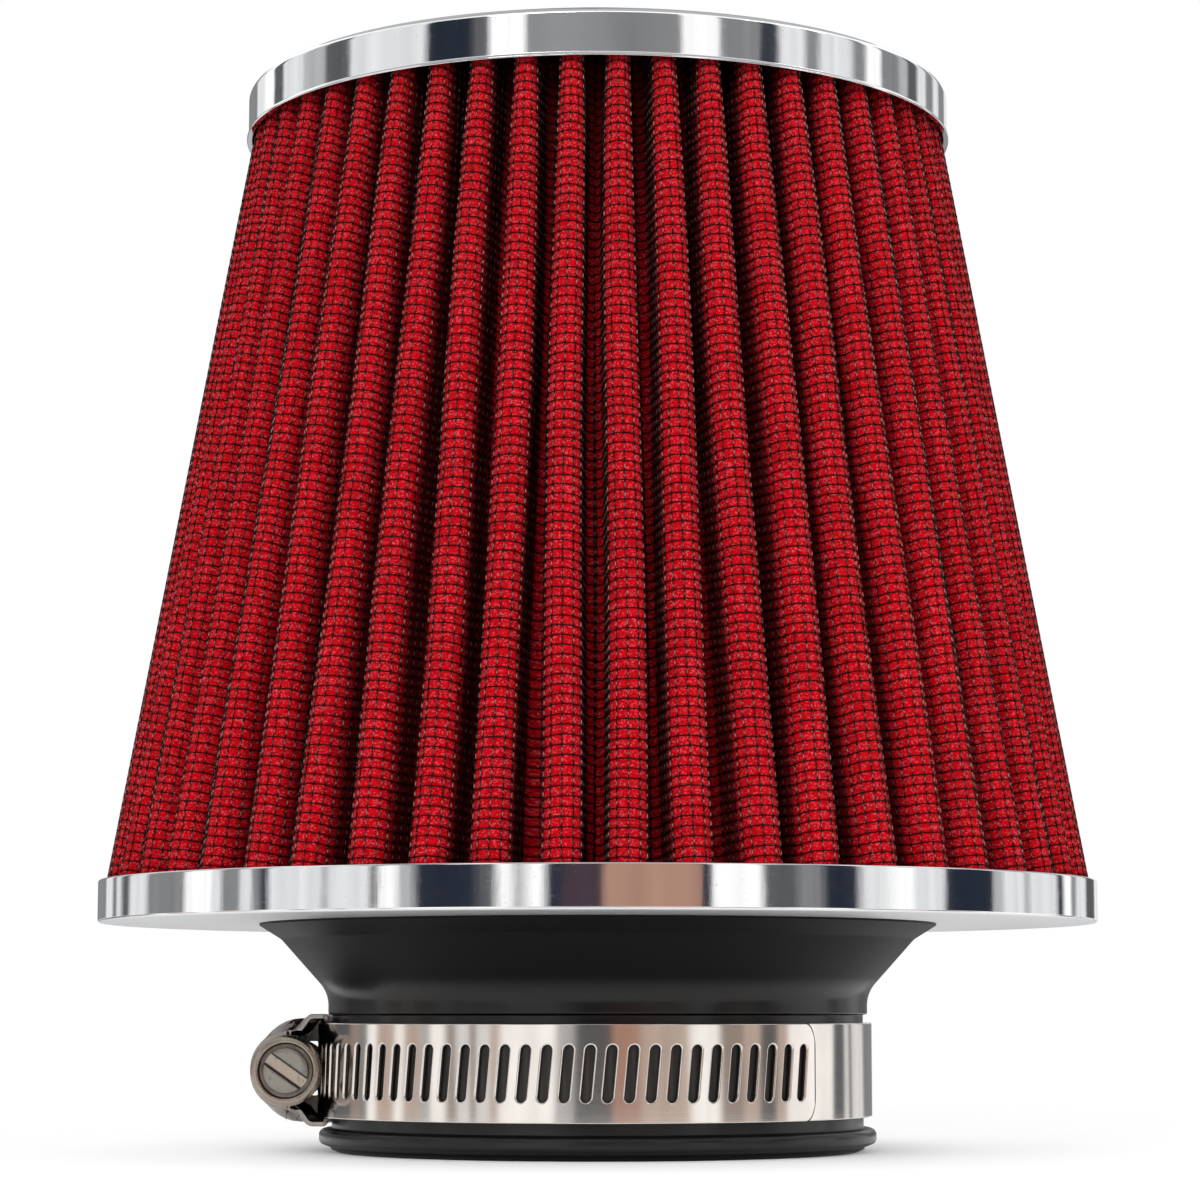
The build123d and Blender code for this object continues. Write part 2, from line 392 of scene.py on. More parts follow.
class Graph:
    """The nodes of one material or world."""

    def __init__(self, owner: bpy.types.Material | bpy.types.World) -> None:
        """Starts with an empty node tree.

        Args:
            owner: The material or world.
        """
        owner.use_nodes = True
        self.owner = owner
        self.tree = owner.node_tree
        self.tree.nodes.clear()

    def node(self, kind: str, sockets: dict | None = None, **settings: object) -> bpy.types.Node:
        """Adds a node.

        Args:
            kind: The node's type.
            sockets: Values or links of its inputs, by name or number.
            settings: Its own settings, which are set first.

        Returns:
            The node.
        """
        node = self.tree.nodes.new(kind)
        for key, value in settings.items():
            setattr(node, key, value)
        for key, value in (sockets or {}).items():
            link = value.socket if isinstance(value, Value) else value
            if isinstance(link, bpy.types.NodeSocket):
                self.tree.links.new(link, node.inputs[key])
            else:
                node.inputs[key].default_value = link
        return node

    def show(self, shader: bpy.types.Node, output: str = "ShaderNodeOutputMaterial") -> bpy.types.ID:
        """Joins a shader to the output.

        Args:
            shader: The shader's node.
            output: Type of the output's node.

        Returns:
            The finished material or world.
        """
        self.node(output, {"Surface": shader.outputs[0]})
        return self.owner

    def blend(self, share: Value, low: bpy.types.Node, high: bpy.types.Node) -> bpy.types.Node:
        """A shader between two shaders."""
        return self.node("ShaderNodeMixShader", {0: share, 1: low.outputs[0], 2: high.outputs[0]})

    def seen(self) -> Value:
        """1 for what the camera sees, itself or in a mirror, and 0 for what only lights the scene."""
        rays = self.node("ShaderNodeLightPath").outputs
        return Value(self, rays["Is Camera Ray"]).most(Value(self, rays["Is Glossy Ray"]))

    def place(self) -> bpy.types.NodeSocket:
        """The point on the piece, in metres."""
        return self.node("ShaderNodeTexCoord").outputs["Object"]

    def pattern(self) -> bpy.types.NodeSocket:
        """The point on the piece's own pattern map."""
        return self.node("ShaderNodeUVMap", uv_map=PATTERN).outputs["UV"]

    def parts(self, point: bpy.types.NodeSocket) -> list[Value]:
        """The three coordinates of a point."""
        return [Value(self, output) for output in self.node("ShaderNodeSeparateXYZ", {0: point}).outputs]

    def axes(self) -> list[Value]:
        """The three coordinates of the point on the piece, in metres."""
        return self.parts(self.place())

    def stretched(self, share: float) -> bpy.types.NodeSocket:
        """The point on the piece with its height times a number."""
        sockets = {"Vector": self.place(), "Scale": (1, 1, share)}
        return self.node("ShaderNodeMapping", sockets, vector_type="POINT").outputs[0]

    def noise(
        self,
        scale: float,
        detail: float = 3.0,
        rough: float = 0.55,
        where: bpy.types.NodeSocket | None = None,
    ) -> Value:
        """Cloudy noise from 0 to 1.

        Args:
            scale: Lumps in a unit of the coordinates.
            detail: Finer octaves.
            rough: How strong the finer ones are.
            where: Coordinates that it follows, or none for the point on the piece.

        Returns:
            The noise.
        """
        point = self.place() if where is None else where
        sockets = {"Vector": point, "Scale": scale, "Detail": detail, "Roughness": rough}
        return Value(self, self.node("ShaderNodeTexNoise", sockets).outputs[0])

    def random(self, across: Value, up: Value) -> Value:
        """A number from 0 to 1 for each whole step of two coordinates."""
        whole = {0: across.math("FLOOR"), 1: up.math("FLOOR")}
        point = self.node("ShaderNodeCombineXYZ", whole).outputs[0]
        node = self.node("ShaderNodeTexWhiteNoise", {"Vector": point}, noise_dimensions="2D")
        return Value(self, node.outputs[0])

    def mix(self, share: Value, low: Link, high: Link) -> bpy.types.NodeSocket:
        """A colour between two colours.

        Args:
            share: How much of the second.
            low: The first colour.
            high: The second colour.

        Returns:
            The mixed colour.
        """
        low, high = ((*colour, 1.0) if isinstance(colour, tuple) else colour for colour in (low, high))
        return self.node("ShaderNodeMix", {0: share, 6: low, 7: high}, data_type="RGBA").outputs[2]

    def layers(self, base: Link, *coats: tuple[Value, Link]) -> Link:
        """A colour with others laid over it in order, each a share and a colour."""
        for share, colour in coats:
            base = self.mix(share, base, colour)
        return base

    def bump(self, height: Value, distance: float, strength: float = 1.0) -> bpy.types.NodeSocket:
        """A normal tilted by a height.

        Args:
            height: The height, in units of distance.
            distance: How far a height of 1 stands out, in metres.
            strength: Share of the tilt that is used.

        Returns:
            The normal.
        """
        sockets = {"Height": height, "Distance": distance, "Strength": strength}
        return self.node("ShaderNodeBump", sockets).outputs[0]


@dataclass(frozen=True)
class Finish:
    """A material made from nodes.

    Attributes:
        name: The material's name.
    """

    name: str

    def sockets(self, graph: Graph) -> dict:
        """Values or links of the surface shader's inputs."""
        raise NotImplementedError

    def material(self) -> bpy.types.Material:
        """Makes the material."""
        graph = Graph(bpy.data.materials.new(self.name))
        return graph.show(graph.node("ShaderNodeBsdfPrincipled", self.sockets(graph)))


@dataclass(frozen=True)
class Chrome(Finish):
    """Bright plate on pressed steel, with faint ripples and a satin underside below a height.

    Attributes:
        satin_below: Height under which the plate is satin, in millimetres.
        satin_fade: Height over which the satin ends, in millimetres.
        bright: The plate's colour.
        dull: Colour of its specks.
        satin: Colour of the satin plate.
    """

    satin_below: float = -1.0
    satin_fade: float = 0.35
    bright: Colour = (0.87, 0.875, 0.885)
    dull: Colour = (0.62, 0.62, 0.63)
    satin: Colour = (0.74, 0.745, 0.755)

    def sockets(self, graph: Graph) -> dict:
        """The plate: mirror-like, with ripples from the press, fine wiping marks and a few dull specks."""
        _, _, height = graph.axes()
        ripple = graph.noise(240, 2, where=graph.stretched(0.35))
        drawn = graph.noise(1700, 2, where=graph.stretched(0.1))
        wipes = graph.noise(600, 2, where=graph.stretched(3))
        specks = graph.noise(2600, 2).step(0.66, 0.78)
        under = 1 - height.step(self.satin_below * MM, (self.satin_below + self.satin_fade) * MM)
        return {
            "Base Color": graph.layers(self.bright, (specks * 0.5, self.dull), (under * 0.8, self.satin)),
            "Metallic": 1.0,
            "Roughness": 0.06 + 0.05 * wipes.step(0.5, 0.9) + 0.12 * specks + 0.36 * under,
            "Normal": graph.bump(ripple + 0.14 * drawn + 0.1 * wipes, 0.00003, 0.4),
        }


@dataclass(frozen=True)
class Gauze(Finish):
    """Oiled red cotton gauze that swells through each opening of the wire mesh.

    Attributes:
        cells: Cells of the mesh along one fold.
        threads: Threads in a cell.
        colour: The cloth's colour.
        pale: Colour of the painted glints, pale specks on the threads.
        deep: Colour of the painted shade down the folds' sides, in the hollows and under the cap.
        shade: Heights over which the shade under the cap comes in, in metres.
    """

    cells: float
    threads: float = 8.0
    colour: Colour = (0.49, 0.001, 0.006)
    pale: Colour = (0.637, 0.16, 0.2)
    deep: Colour = (0.01, 0.0003, 0.001)
    shade: tuple[float, float] = (0.118, 0.15)

    def sockets(self, graph: Graph) -> dict:
        """The cloth: a weave of fine threads pillowed in each cell, with painted shade by the wires, down the
        folds and under the cap, and painted glints.
        """
        point = graph.pattern()
        across, up, _ = graph.parts(point)
        _, _, height = graph.axes()
        pillow = (1 - across.from_middle() ** 3) * (1 - up.from_middle() ** 3)
        fluff = graph.noise(4.5, 2, 0.7, point)
        speckle = graph.random(across * self.threads + fluff * 1.6, up * self.threads + fluff * 1.3)
        lumps = graph.noise(2.2, 2, 0.6, point)
        patches = graph.noise(130)
        fold = (across / self.cells).from_middle()
        dark = shaded(self.colour, 0.14)
        cloth = graph.layers(
            dark,
            # painted shade: each cell lighter in its middle and darker towards the wires round it
            ((0.42 + pillow * 0.42 + lumps * 0.3).step(0.0, 1.0), self.colour),
            # painted glints: pale specks on the threads
            (speckle.step(0.74, 1.0) * 0.36, self.pale),
            ((1 - speckle).step(0.5, 1.0) * 0.55, dark),
            (patches.step(0.3, 0.75) * 0.2, dark),
            # painted shade down the folds' sides, lighter again in the hollows
            (fold.step(0.36, 0.54) * 0.72 - fold.step(0.74, 0.95) * 0.45, self.deep),
            # painted shade in the folds under the cap
            (fold.step(0.3, 0.8) * height.step(*self.shade) * 0.75, self.deep),
        )
        return {
            "Base Color": cloth,
            "Roughness": 0.7 + 0.25 * fluff,
            "Specular IOR Level": 0.04,
            "Normal": graph.bump(pillow * 0.25 + speckle * 0.15 + fluff * 0.2, 0.0004),
        }


@dataclass(frozen=True)
class CoatedWire(Finish):
    """Dark epoxy coat on woven wire, with painted highlights on the crowns of the uprights.

    Attributes:
        glint_strength: How bright the painted highlights on the crowns are.
        cells: Cells of the mesh along one fold.
        metal: Colour of the painted highlights on the crowns.
    """

    glint_strength: float
    cells: float
    metal: Colour = (0.62, 0.3, 0.26)

    def sockets(self, graph: Graph) -> dict:
        """The coat: near black and glossy, with brownish painted highlights along the middle of each cell."""
        point = graph.pattern()
        across, up, _ = graph.parts(point)
        crown = 1 - up.from_middle()
        patchy = graph.noise(1.7, 2, where=point)
        fold = (across / self.cells).from_middle()
        # painted highlights along the middle of each cell, in patches, dimmed as painted shade down the
        # folds' sides and hollows
        glint_share = crown.step(0.35, 0.9) * patchy.step(0.36, 0.6)
        glint_share = glint_share * (1 - fold.step(0.3, 0.46) * 0.75) * self.glint_strength
        coat = graph.mix(patchy, (0.003, 0.001, 0.001), (0.012, 0.003, 0.003))
        return {
            "Base Color": graph.mix(glint_share, coat, self.metal),
            "Metallic": glint_share * 0.3,
            "Roughness": 0.4 + 0.2 * patchy,
            "Specular IOR Level": 0.1,
            "Normal": graph.bump(crown + 0.4 * patchy, 0.00008),
        }


@dataclass(frozen=True)
class MouldedRubber(Finish):
    """Satin black moulded rubber.

    Attributes:
        colour: Its colour.
        dusty: Colour of the dust on it.
        gloss: Roughness of the plain skin.
        polished: Lowest and highest of the straight walls, which left the mould with more shine, in metres.
        fades: Distances over which the shine starts and ends, in metres.
    """

    colour: Colour = (0.003, 0.003, 0.0033)
    dusty: Colour = (0.06, 0.058, 0.056)
    gloss: float = 0.4
    polished: tuple[float, float] = (0.0015, 0.0235)
    fades: tuple[float, float] = (0.0002, 0.0025)

    def sockets(self, graph: Graph) -> dict:
        """The skin: a fine pebble from the mould, soft dull patches and a little pale dust."""
        _, _, height = graph.axes()
        (low, high), (start, end) = self.polished, self.fades
        walls = height.step(low - start, low + start) * (1 - height.step(high, high + end))
        pebble = graph.noise(2400, 3, 0.6)
        patches = graph.noise(70)
        dust = graph.noise(900, 4, 0.7).step(0.68, 0.85)
        tone = graph.mix(patches, self.colour, shaded(self.colour, 1.5))
        return {
            "Base Color": graph.mix(dust * 0.2, tone, self.dusty),
            "Roughness": self.gloss + 0.1 * patches + 0.12 * dust,
            "Specular IOR Level": 0.1,
            "Coat Weight": walls * 0.55,
            "Coat Roughness": 0.2,
            "Normal": graph.bump(pebble, 0.00003, 0.5),
        }


@dataclass(frozen=True)
class StripSteel(Finish):
    """Stainless strip, polished along its length, with painted shade where its own tail covers it.

    Attributes:
        band: The strip.
        seam: How far past the tail's end the painted shade reaches, so that a painted shadow line shows, in
            millimetres.
        colour: The metal's colour.
        painted_shade: Colours of the painted shade along the seam and under the tail.
        gloss: Roughness of the clean metal.
    """

    band: ClampBand
    seam: float = 1.2
    colour: Colour = (0.8, 0.755, 0.715)
    painted_shade: tuple[Colour, Colour] = ((0.12, 0.115, 0.11), (0.005, 0.0045, 0.004))
    gloss: float = 0.06

    def covered(self, graph: Graph) -> tuple[Value, Value]:
        """Share of cover on the inner lap, to a little past the tail's outline, and of the part under it."""
        band = self.band
        x, y, z = graph.axes()
        lap = (band.inner_lap + band.thickness / 2) * MM
        inner = 1 - ((x * x + y * y) ** 0.5).step(lap - 0.02 * MM, lap + 0.1 * MM)
        left = (math.radians(band.tail - 360) - y.math("ARCTAN2", x)) * band.outer_lap + self.seam
        into = (1 - left / band.corner_run).most(0.0).least(1.0)
        half = band.width / 2 - band.corner_rise * (1 - (1 - into * into) ** 0.5)
        height = (z / MM - band.level).absolute()
        share = inner * (half - height).step(-0.02, 0.05) * left.step(0.0, 0.05)
        return share, left.step(self.seam, self.seam + 0.3)

    def sockets(self, graph: Graph) -> dict:
        """The metal: fine lines along the strip, faint stains, and painted shade where the tail covers it and
        just past its end.
        """
        lines = graph.noise(60, 3, 0.65, graph.stretched(60))
        stains = graph.noise(110)
        grain = graph.noise(3000, 2)
        covered, under = self.covered(graph)
        stained = stains.step(0.35, 0.8) * 0.4, shaded(self.colour, 0.78)
        return {
            # painted shade on the inner lap under the tail, and a lighter painted shadow line just past the
            # tail's end
            "Base Color": graph.layers(self.colour, stained, (covered, graph.mix(under, *self.painted_shade))),
            "Metallic": 1.0,
            "Roughness": self.gloss + 0.06 * lines + 0.05 * stains + 0.45 * covered,
            "Normal": graph.bump(lines * 0.8 + grain * 0.2, 0.000004, 0.5),
        }


@dataclass(frozen=True)
class PressedSteel(Finish):
    """Pressed steel of the saddle, dull outside, with painted shade on the side that faces the screw.

    Attributes:
        axis: Where the screw's axis lies, across and up, in millimetres.
        colour: The metal's colour.
        painted_shade: Colour of the painted shade.
    """

    axis: tuple[float, float]
    colour: Colour = (0.36, 0.325, 0.3)
    painted_shade: Colour = (0.012, 0.01, 0.009)

    def sockets(self, graph: Graph) -> dict:
        """The metal: soft stains and a fine grain, and painted shade wherever the sheet faces the screw."""
        x, _, z = graph.axes()
        facing_x, _, facing_z = graph.parts(graph.node("ShaderNodeNewGeometry").outputs["Normal"])
        away = (x - self.axis[0] * MM) * facing_x + (z - self.axis[1] * MM) * facing_z
        # painted shade: the side of the sheet that faces the screw is made dark
        inside = 1 - away.step(-0.001, -0.0002)
        stains = graph.noise(260)
        grain = graph.noise(3000, 2)
        stained = stains * 0.6, shaded(self.colour, 0.6)
        return {
            "Base Color": graph.layers(self.colour, stained, (inside, self.painted_shade)),
            "Metallic": 1.0,
            "Roughness": 0.2 + 0.12 * stains + 0.25 * inside,
            "Normal": graph.bump(grain, 0.000006, 0.5),
        }


@dataclass(frozen=True)
class TurnedSteel(Finish):
    """Dull turned steel of the screw.

    Attributes:
        axis: Where the screw's axis lies, across and up, in millimetres.
        recess: How far forward of the filter's axis the painted shade starts to show, in millimetres.
        boss: The boss's radius, in millimetres.
        slot: Width of the driver's slot, in millimetres.
        slot_angle: The slot's angle, in degrees.
        colour: The metal's colour.
        face: Colour of the boss's two faces.
        painted_shade: Colour of the painted shade.
        pitted: Colour of the pits.
    """

    axis: tuple[float, float]
    recess: float
    boss: float
    slot: float
    slot_angle: float
    colour: Colour = (0.44, 0.37, 0.31)
    face: Colour = (0.26, 0.24, 0.215)
    painted_shade: Colour = (0.03, 0.022, 0.018)
    pitted: Colour = (0.1, 0.085, 0.075)

    def sockets(self, graph: Graph) -> dict:
        """The metal: a fine grain with brownish patches and pits, painted shade round the boss and along the
        slot.
        """
        x, y, z = graph.axes()
        across, up, front = x / MM - self.axis[0], z / MM - self.axis[1], y * -1
        turn = math.radians(self.slot_angle)
        from_slot = (up * math.cos(turn) - across * math.sin(turn)).absolute() - self.slot / 2
        reach = (across * across + up * up) ** 0.5
        grain = graph.noise(3800, 4, 0.7)
        patches = graph.noise(420)
        pits = graph.noise(1500, 2).step(0.62, 0.75)
        sunk = front.step(self.recess * MM, (self.recess - 0.5) * MM)
        sunk = sunk * reach.step(self.boss + 0.9, self.boss + 0.6)
        round_boss = reach.step(self.boss - 0.08, self.boss + 0.05)
        on_boss = (1 - round_boss) * front.step((self.recess - 2) * MM, (self.recess - 1.5) * MM)
        along_slot = from_slot.absolute().step(0.26, 0.08) * on_boss
        tint = graph.layers(
            self.colour,
            (patches, shaded(self.colour, 0.7)),
            (from_slot.step(0.0, 0.1) * on_boss, self.face),
            # painted shade in the recess round the boss, in patches
            (sunk * round_boss * (0.4 + 0.6 * patches), self.painted_shade),
            # painted shade along the walls of the driver's slot
            (along_slot * 0.9, self.painted_shade),
            (pits * 0.5, self.pitted),
        )
        return {
            "Base Color": tint,
            "Metallic": 1.0,
            "Roughness": 0.16 + 0.18 * grain + 0.1 * pits,
            "Normal": graph.bump(grain * 0.6 - pits * 0.4, 0.000018, 0.6),
        }


@dataclass(frozen=True)
class CastSealant(Finish):
    """Dark poured sealant."""

    def sockets(self, graph: Graph) -> dict:
        """The sealant: matt, lumpy where it set against the cloth, with small bubbles."""
        lumps = graph.noise(300, 4)
        bubbles = graph.noise(1300, 1).step(0.66, 0.74)
        return {
            "Base Color": graph.mix(lumps, (0.016, 0.015, 0.015), (0.04, 0.038, 0.037)),
            "Roughness": 0.5 + 0.3 * lumps,
            "Normal": graph.bump(lumps - 0.5 * bubbles, 0.0002),
        }


@dataclass
class PleatPack:
    """The pleated cone: gauze folded into rounded ridges under a woven wire mesh.

    Sizes match the solids: the ridges' crests lie just inside the rims of the cap and the base ring. A pair
    holds the sizes at the bottom and at the cap's edge.

    Attributes:
        pinch: How much narrower a fold is at the cap, from pinch_rise above its edge and over pinch_reach.
        sway: Degrees that a fold wanders, sway_turns times on its way up, each fold sway_shift turns later.
        sway_end: Power of the height with which the wandering dies out at the cap.
        sag: How far the level wires hang down the crests, and on into the hollows.
        waves: Slow waves of the level wires: size, radians in a fold, radians in a millimetre up, and start.
        sinks: How far the cloth, the level wires and the upright wires lie inside the sheet, in wires.
        row_ends: Room left below the lowest level wire and above the highest.
        glint_strength: How bright the painted highlights on the crowns of the level and of the upright wires
            are.
        cloth_steps: Steps of the cloth in a quarter crest, a side and half a hollow. Wires have wire_steps.
        cloth_rows: Rows of points up the cloth's outer and inner face.
    """

    count: int = 50
    phase: float = 3.2
    bottom: float = 37.7
    top: float = 157.1
    cap_edge: float = 153.8
    crest: tuple[float, float] = (74.26, 53.26)
    width: tuple[float, float] = (5.6, 4.5)
    depth: tuple[float, float] = (11.0, 8.0)
    pinch: float = 1.25
    pinch_rise: float = 1.0
    pinch_reach: float = 13.0
    sway: float = 0.26
    sway_turns: float = 0.8
    sway_shift: float = 0.618
    sway_end: int = 6
    wire: float = 0.17
    upright: float = 0.21
    sag: tuple[float, float] = (0.5, 0.35)
    waves: tuple[tuple[float, ...], ...] = ((0.22, 2.1, 0.07, 0.0), (0.16, 5.3, 0.11, 1.7))
    sinks: tuple[float, float, float] = (1.2, 0.35, 0.8)
    row_pitch: float = 1.34
    row_ends: tuple[float, float] = (0.5, 0.3)
    # painted highlight strengths of the level wires and of the upright wires
    glint_strength: tuple[float, float] = (0.05, 0.5)
    cells: float = 14.1
    media: float = 1.5
    cloth_steps: tuple[int, int, int] = (4, 3, 3)
    cloth_rows: tuple[int, int] = (42, 8)
    wire_steps: tuple[int, int, int] = (5, 1, 2)
    wire_rows: int = 9
    wire_sides: int = 3
    batches: int = 3
    rows: Array = field(init=False)

    def __post_init__(self) -> None:
        """Works out the heights of the mesh's level wires."""
        self.rows = np.arange(self.bottom + self.row_ends[0], self.top - self.row_ends[1], self.row_pitch)

    def sizes(self, level: Array) -> tuple[Array, Array, Array, Array, Array]:
        """Sizes of a fold at a height.

        A fold is a half round crest, two parallel sides and half a hollow on each side. The hollow's radius
        makes it tangent to the sides of both folds: valley times sine less half width, over one less sine.

        Args:
            level: Heights, in millimetres.

        Returns:
            Half width, crest's distance from the axis, side's length, hollow's radius, share of the height.
        """
        share = (level - self.bottom) / (self.cap_edge - self.bottom)
        nip = self.pinch * np.exp(-np.abs(self.cap_edge + self.pinch_rise - level) / self.pinch_reach)
        half = (between(self.width, share) - nip) / 2
        crest = between(self.crest, share)
        valley = crest - between(self.depth, share)
        sine = math.sin(math.pi / self.count)
        hollow = (valley * sine - half) / (1 - sine)
        side = crest - half - (valley + hollow) * math.cos(math.pi / self.count)
        return half, crest, side, hollow, share

    def stations(self) -> tuple[float, float]:
        """Shares of a fold, out from its crest, at which the side and the hollow start at mid height."""
        half, _, side, hollow, _ = self.sizes(np.array((self.bottom + self.top) / 2))
        lengths = np.array((half * math.pi / 2, side, hollow * (math.pi / 2 - math.pi / self.count)))
        reached = np.cumsum(lengths) / lengths.sum() / 2
        return float(reached[0]), float(reached[1])

    def place(self, level: Array, along: Array, lift: Array | float) -> Array:
        """Points on the folded sheet.

        Args:
            level: Heights, in millimetres.
            along: Place round the cone in folds: a whole number lies in a valley, a half on a crest.
            lift: Distance out from the sheet, in millimetres.

        Returns:
            The points, in metres: round the crest, down the side and round the hollow, at the fold's angle.
        """
        half, crest, side, hollow, share = self.sizes(level)
        first, second = self.stations()
        fold = np.floor(along)
        offset = along - fold - 0.5
        out = np.abs(offset)
        turn = np.clip(out / first, 0, 1) * math.pi / 2
        down = np.clip((out - first) / (second - first), 0, 1)
        curl = np.clip((out - second) / (0.5 - second), 0, 1) * (math.pi / 2 - math.pi / self.count)
        reach = crest - half + half * np.cos(turn) - down * side - hollow * np.sin(curl)
        across = half * np.sin(turn) + hollow * (1 - np.cos(curl))
        in_hollow = curl > 0
        reach = reach + lift * np.where(in_hollow, np.sin(curl), np.cos(turn))
        across = (across + lift * np.where(in_hollow, np.cos(curl), np.sin(turn))) * np.sign(offset)
        wander = np.sin(TURN * (self.sway_turns * share + self.sway_shift * fold))
        wander = self.sway * wander * (1 - share**self.sway_end)
        angle = np.radians(self.phase - 90 + wander) + fold * TURN / self.count
        x = reach * np.cos(angle) - across * np.sin(angle)
        y = reach * np.sin(angle) + across * np.cos(angle)
        return metres(x, y, level)

    def droop(self, along: Array, level: Array | float) -> Array:
        """How far the level wires wander up or down, in millimetres.

        Two slow waves run round the cone, and the wires hang down the crests and on into the hollows.
        """
        out = np.abs(along - np.floor(along) - 0.5)
        first, second = self.stations()
        crest, hollow = np.clip(out / first, 0, 1), np.clip((0.5 - out) / (0.5 - second), 0, 1)
        hang = self.sag[0] * crest**2 + self.sag[1] * (1 - hollow**2)
        drift = [
            size * np.sin(along * around + start + level * rise) for size, around, rise, start in self.waves
        ]
        return sum(drift) - hang

    def samples(self, crest_steps: int, side_steps: int, hollow_steps: int) -> Array:
        """Places along one fold, from valley to valley, closer together where the sheet bends.

        Args:
            crest_steps: Steps in a quarter of the crest.
            side_steps: Steps in a side.
            hollow_steps: Steps in half a hollow.

        Returns:
            Shares of the fold from 0 up to, but without, 1.
        """
        first, second = self.stations()
        out = np.concatenate([
            np.linspace(0, first, crest_steps + 1)[:-1],
            np.linspace(first, second, side_steps + 1)[:-1],
            np.linspace(second, 0.5, hollow_steps + 1),
        ])
        return np.concatenate([0.5 - out[::-1], 0.5 + out[1:-1]])

    def round_trip(self, fold: Array) -> Array:
        """The samples of one fold repeated all round, ending where it started."""
        return np.append((np.arange(self.count)[:, None] + fold[None]).ravel(), self.count)

    @property
    def ring(self) -> Array:
        """Angles round a wire's section."""
        return np.linspace(0, TURN, self.wire_sides + 1)[:-1]

    def gauze(self) -> Surface:
        """The cloth: its outer face, its inner face and the two ends, as one closed sheet."""
        along = self.round_trip(self.samples(*self.cloth_steps))
        outer = np.linspace(self.bottom, self.top, self.cloth_rows[0])
        inner = np.linspace(self.top, self.bottom, self.cloth_rows[1])
        level = np.concatenate([outer, inner])[:, None]
        lift = np.repeat((-self.wire * self.sinks[0], -self.media), self.cloth_rows)[:, None]
        up = (level - self.droop(along[None], level) - self.rows[0]) / self.row_pitch
        pattern = np.stack(np.broadcast_arrays(along[None] * self.cells, up), -1)
        return Surface(self.place(level, along[None], lift), closed_rows=True, pattern=pattern)

    def level_wires(self, first: int, last: int) -> Surface:
        """A run of the mesh's level wires, each a thin tube that follows the folds.

        Args:
            first: Number of the first wire.
            last: Number after the last wire.

        Returns:
            Tubes by steps by ring points.
        """
        along = self.round_trip(self.samples(*self.wire_steps))
        row = self.rows[first:last, None, None]
        height = row + self.droop(along[:, None], row) + self.wire / 2 * np.sin(self.ring)
        lift = -self.wire * self.sinks[1] + self.wire / 2 * np.cos(self.ring)
        points = self.place(height, along[:, None] + 0 * height, lift + 0 * height)
        across = np.broadcast_to(along[:, None] * self.cells, points.shape[:-1])
        up = np.zeros(points.shape[:-1])
        return Surface(points, pattern=np.stack([across, up], -1))

    def upright_wires(self) -> Surface:
        """The mesh's upright wires, each a thin tube up the cone at its own place along the folds.

        A wire's width over the fold's length gives its width in folds. A hollow bends by about 1.5 radians.
        """
        count = int(self.count * self.cells)
        along = (np.arange(count) / self.cells)[:, None, None]
        level = np.linspace(self.bottom, self.top, self.wire_rows)[:, None]
        half, _, side, hollow, _ = self.sizes(level)
        length = 2 * (half * math.pi / 2 + side + hollow * 1.5)
        lift = -self.wire * self.sinks[2] + self.upright / 2 * np.cos(self.ring)
        spread = self.upright / 2 * np.sin(self.ring) / length
        points = self.place(level + 0 * along + 0 * self.ring, along + spread, lift + 0 * along + 0 * level)
        up = (level - self.droop(along, level) - self.rows[0]) / self.row_pitch
        across = np.broadcast_to(along * self.cells, points.shape[:-1])
        return Surface(points, pattern=np.stack([across, np.broadcast_to(up, across.shape)], -1))

    @staticmethod
    def tubes(name: str, batch: Surface) -> Piece:
        """Splits a stack of tubes into one closed grid each.

        Args:
            name: The piece's name.
            batch: Tubes by steps by ring points.

        Returns:
            The piece.
        """
        pairs = zip(batch.points, batch.pattern)
        tubes = (Surface(points, closed_columns=True, pattern=pattern) for points, pattern in pairs)
        return Piece(name, *tubes)

    def build(self) -> None:
        """Makes the cloth and the wires."""
        cloth = Piece("pleated_gauze", self.gauze())
        cloth.build(Gauze("oiled_gauze", self.cells).material(), Body.FILTER, Slot.GAUZE, ["filter_media"])
        level_coat = CoatedWire("level_wire_coat", self.glint_strength[0], self.cells).material()
        upright_coat = CoatedWire("upright_wire_coat", self.glint_strength[1], self.cells).material()
        uprights = self.tubes("upright_wires", self.upright_wires())
        uprights.build(upright_coat, Body.FILTER, Slot.MESH, ["outer_mesh"], weld=False)
        share = math.ceil(len(self.rows) / self.batches)
        for index in range(self.batches):
            batch = self.level_wires(index * share, (index + 1) * share)
            wires = self.tubes(f"level_wires_{index + 1}", batch)
            wires.build(level_coat, Body.FILTER, Slot.MESH, weld=False)


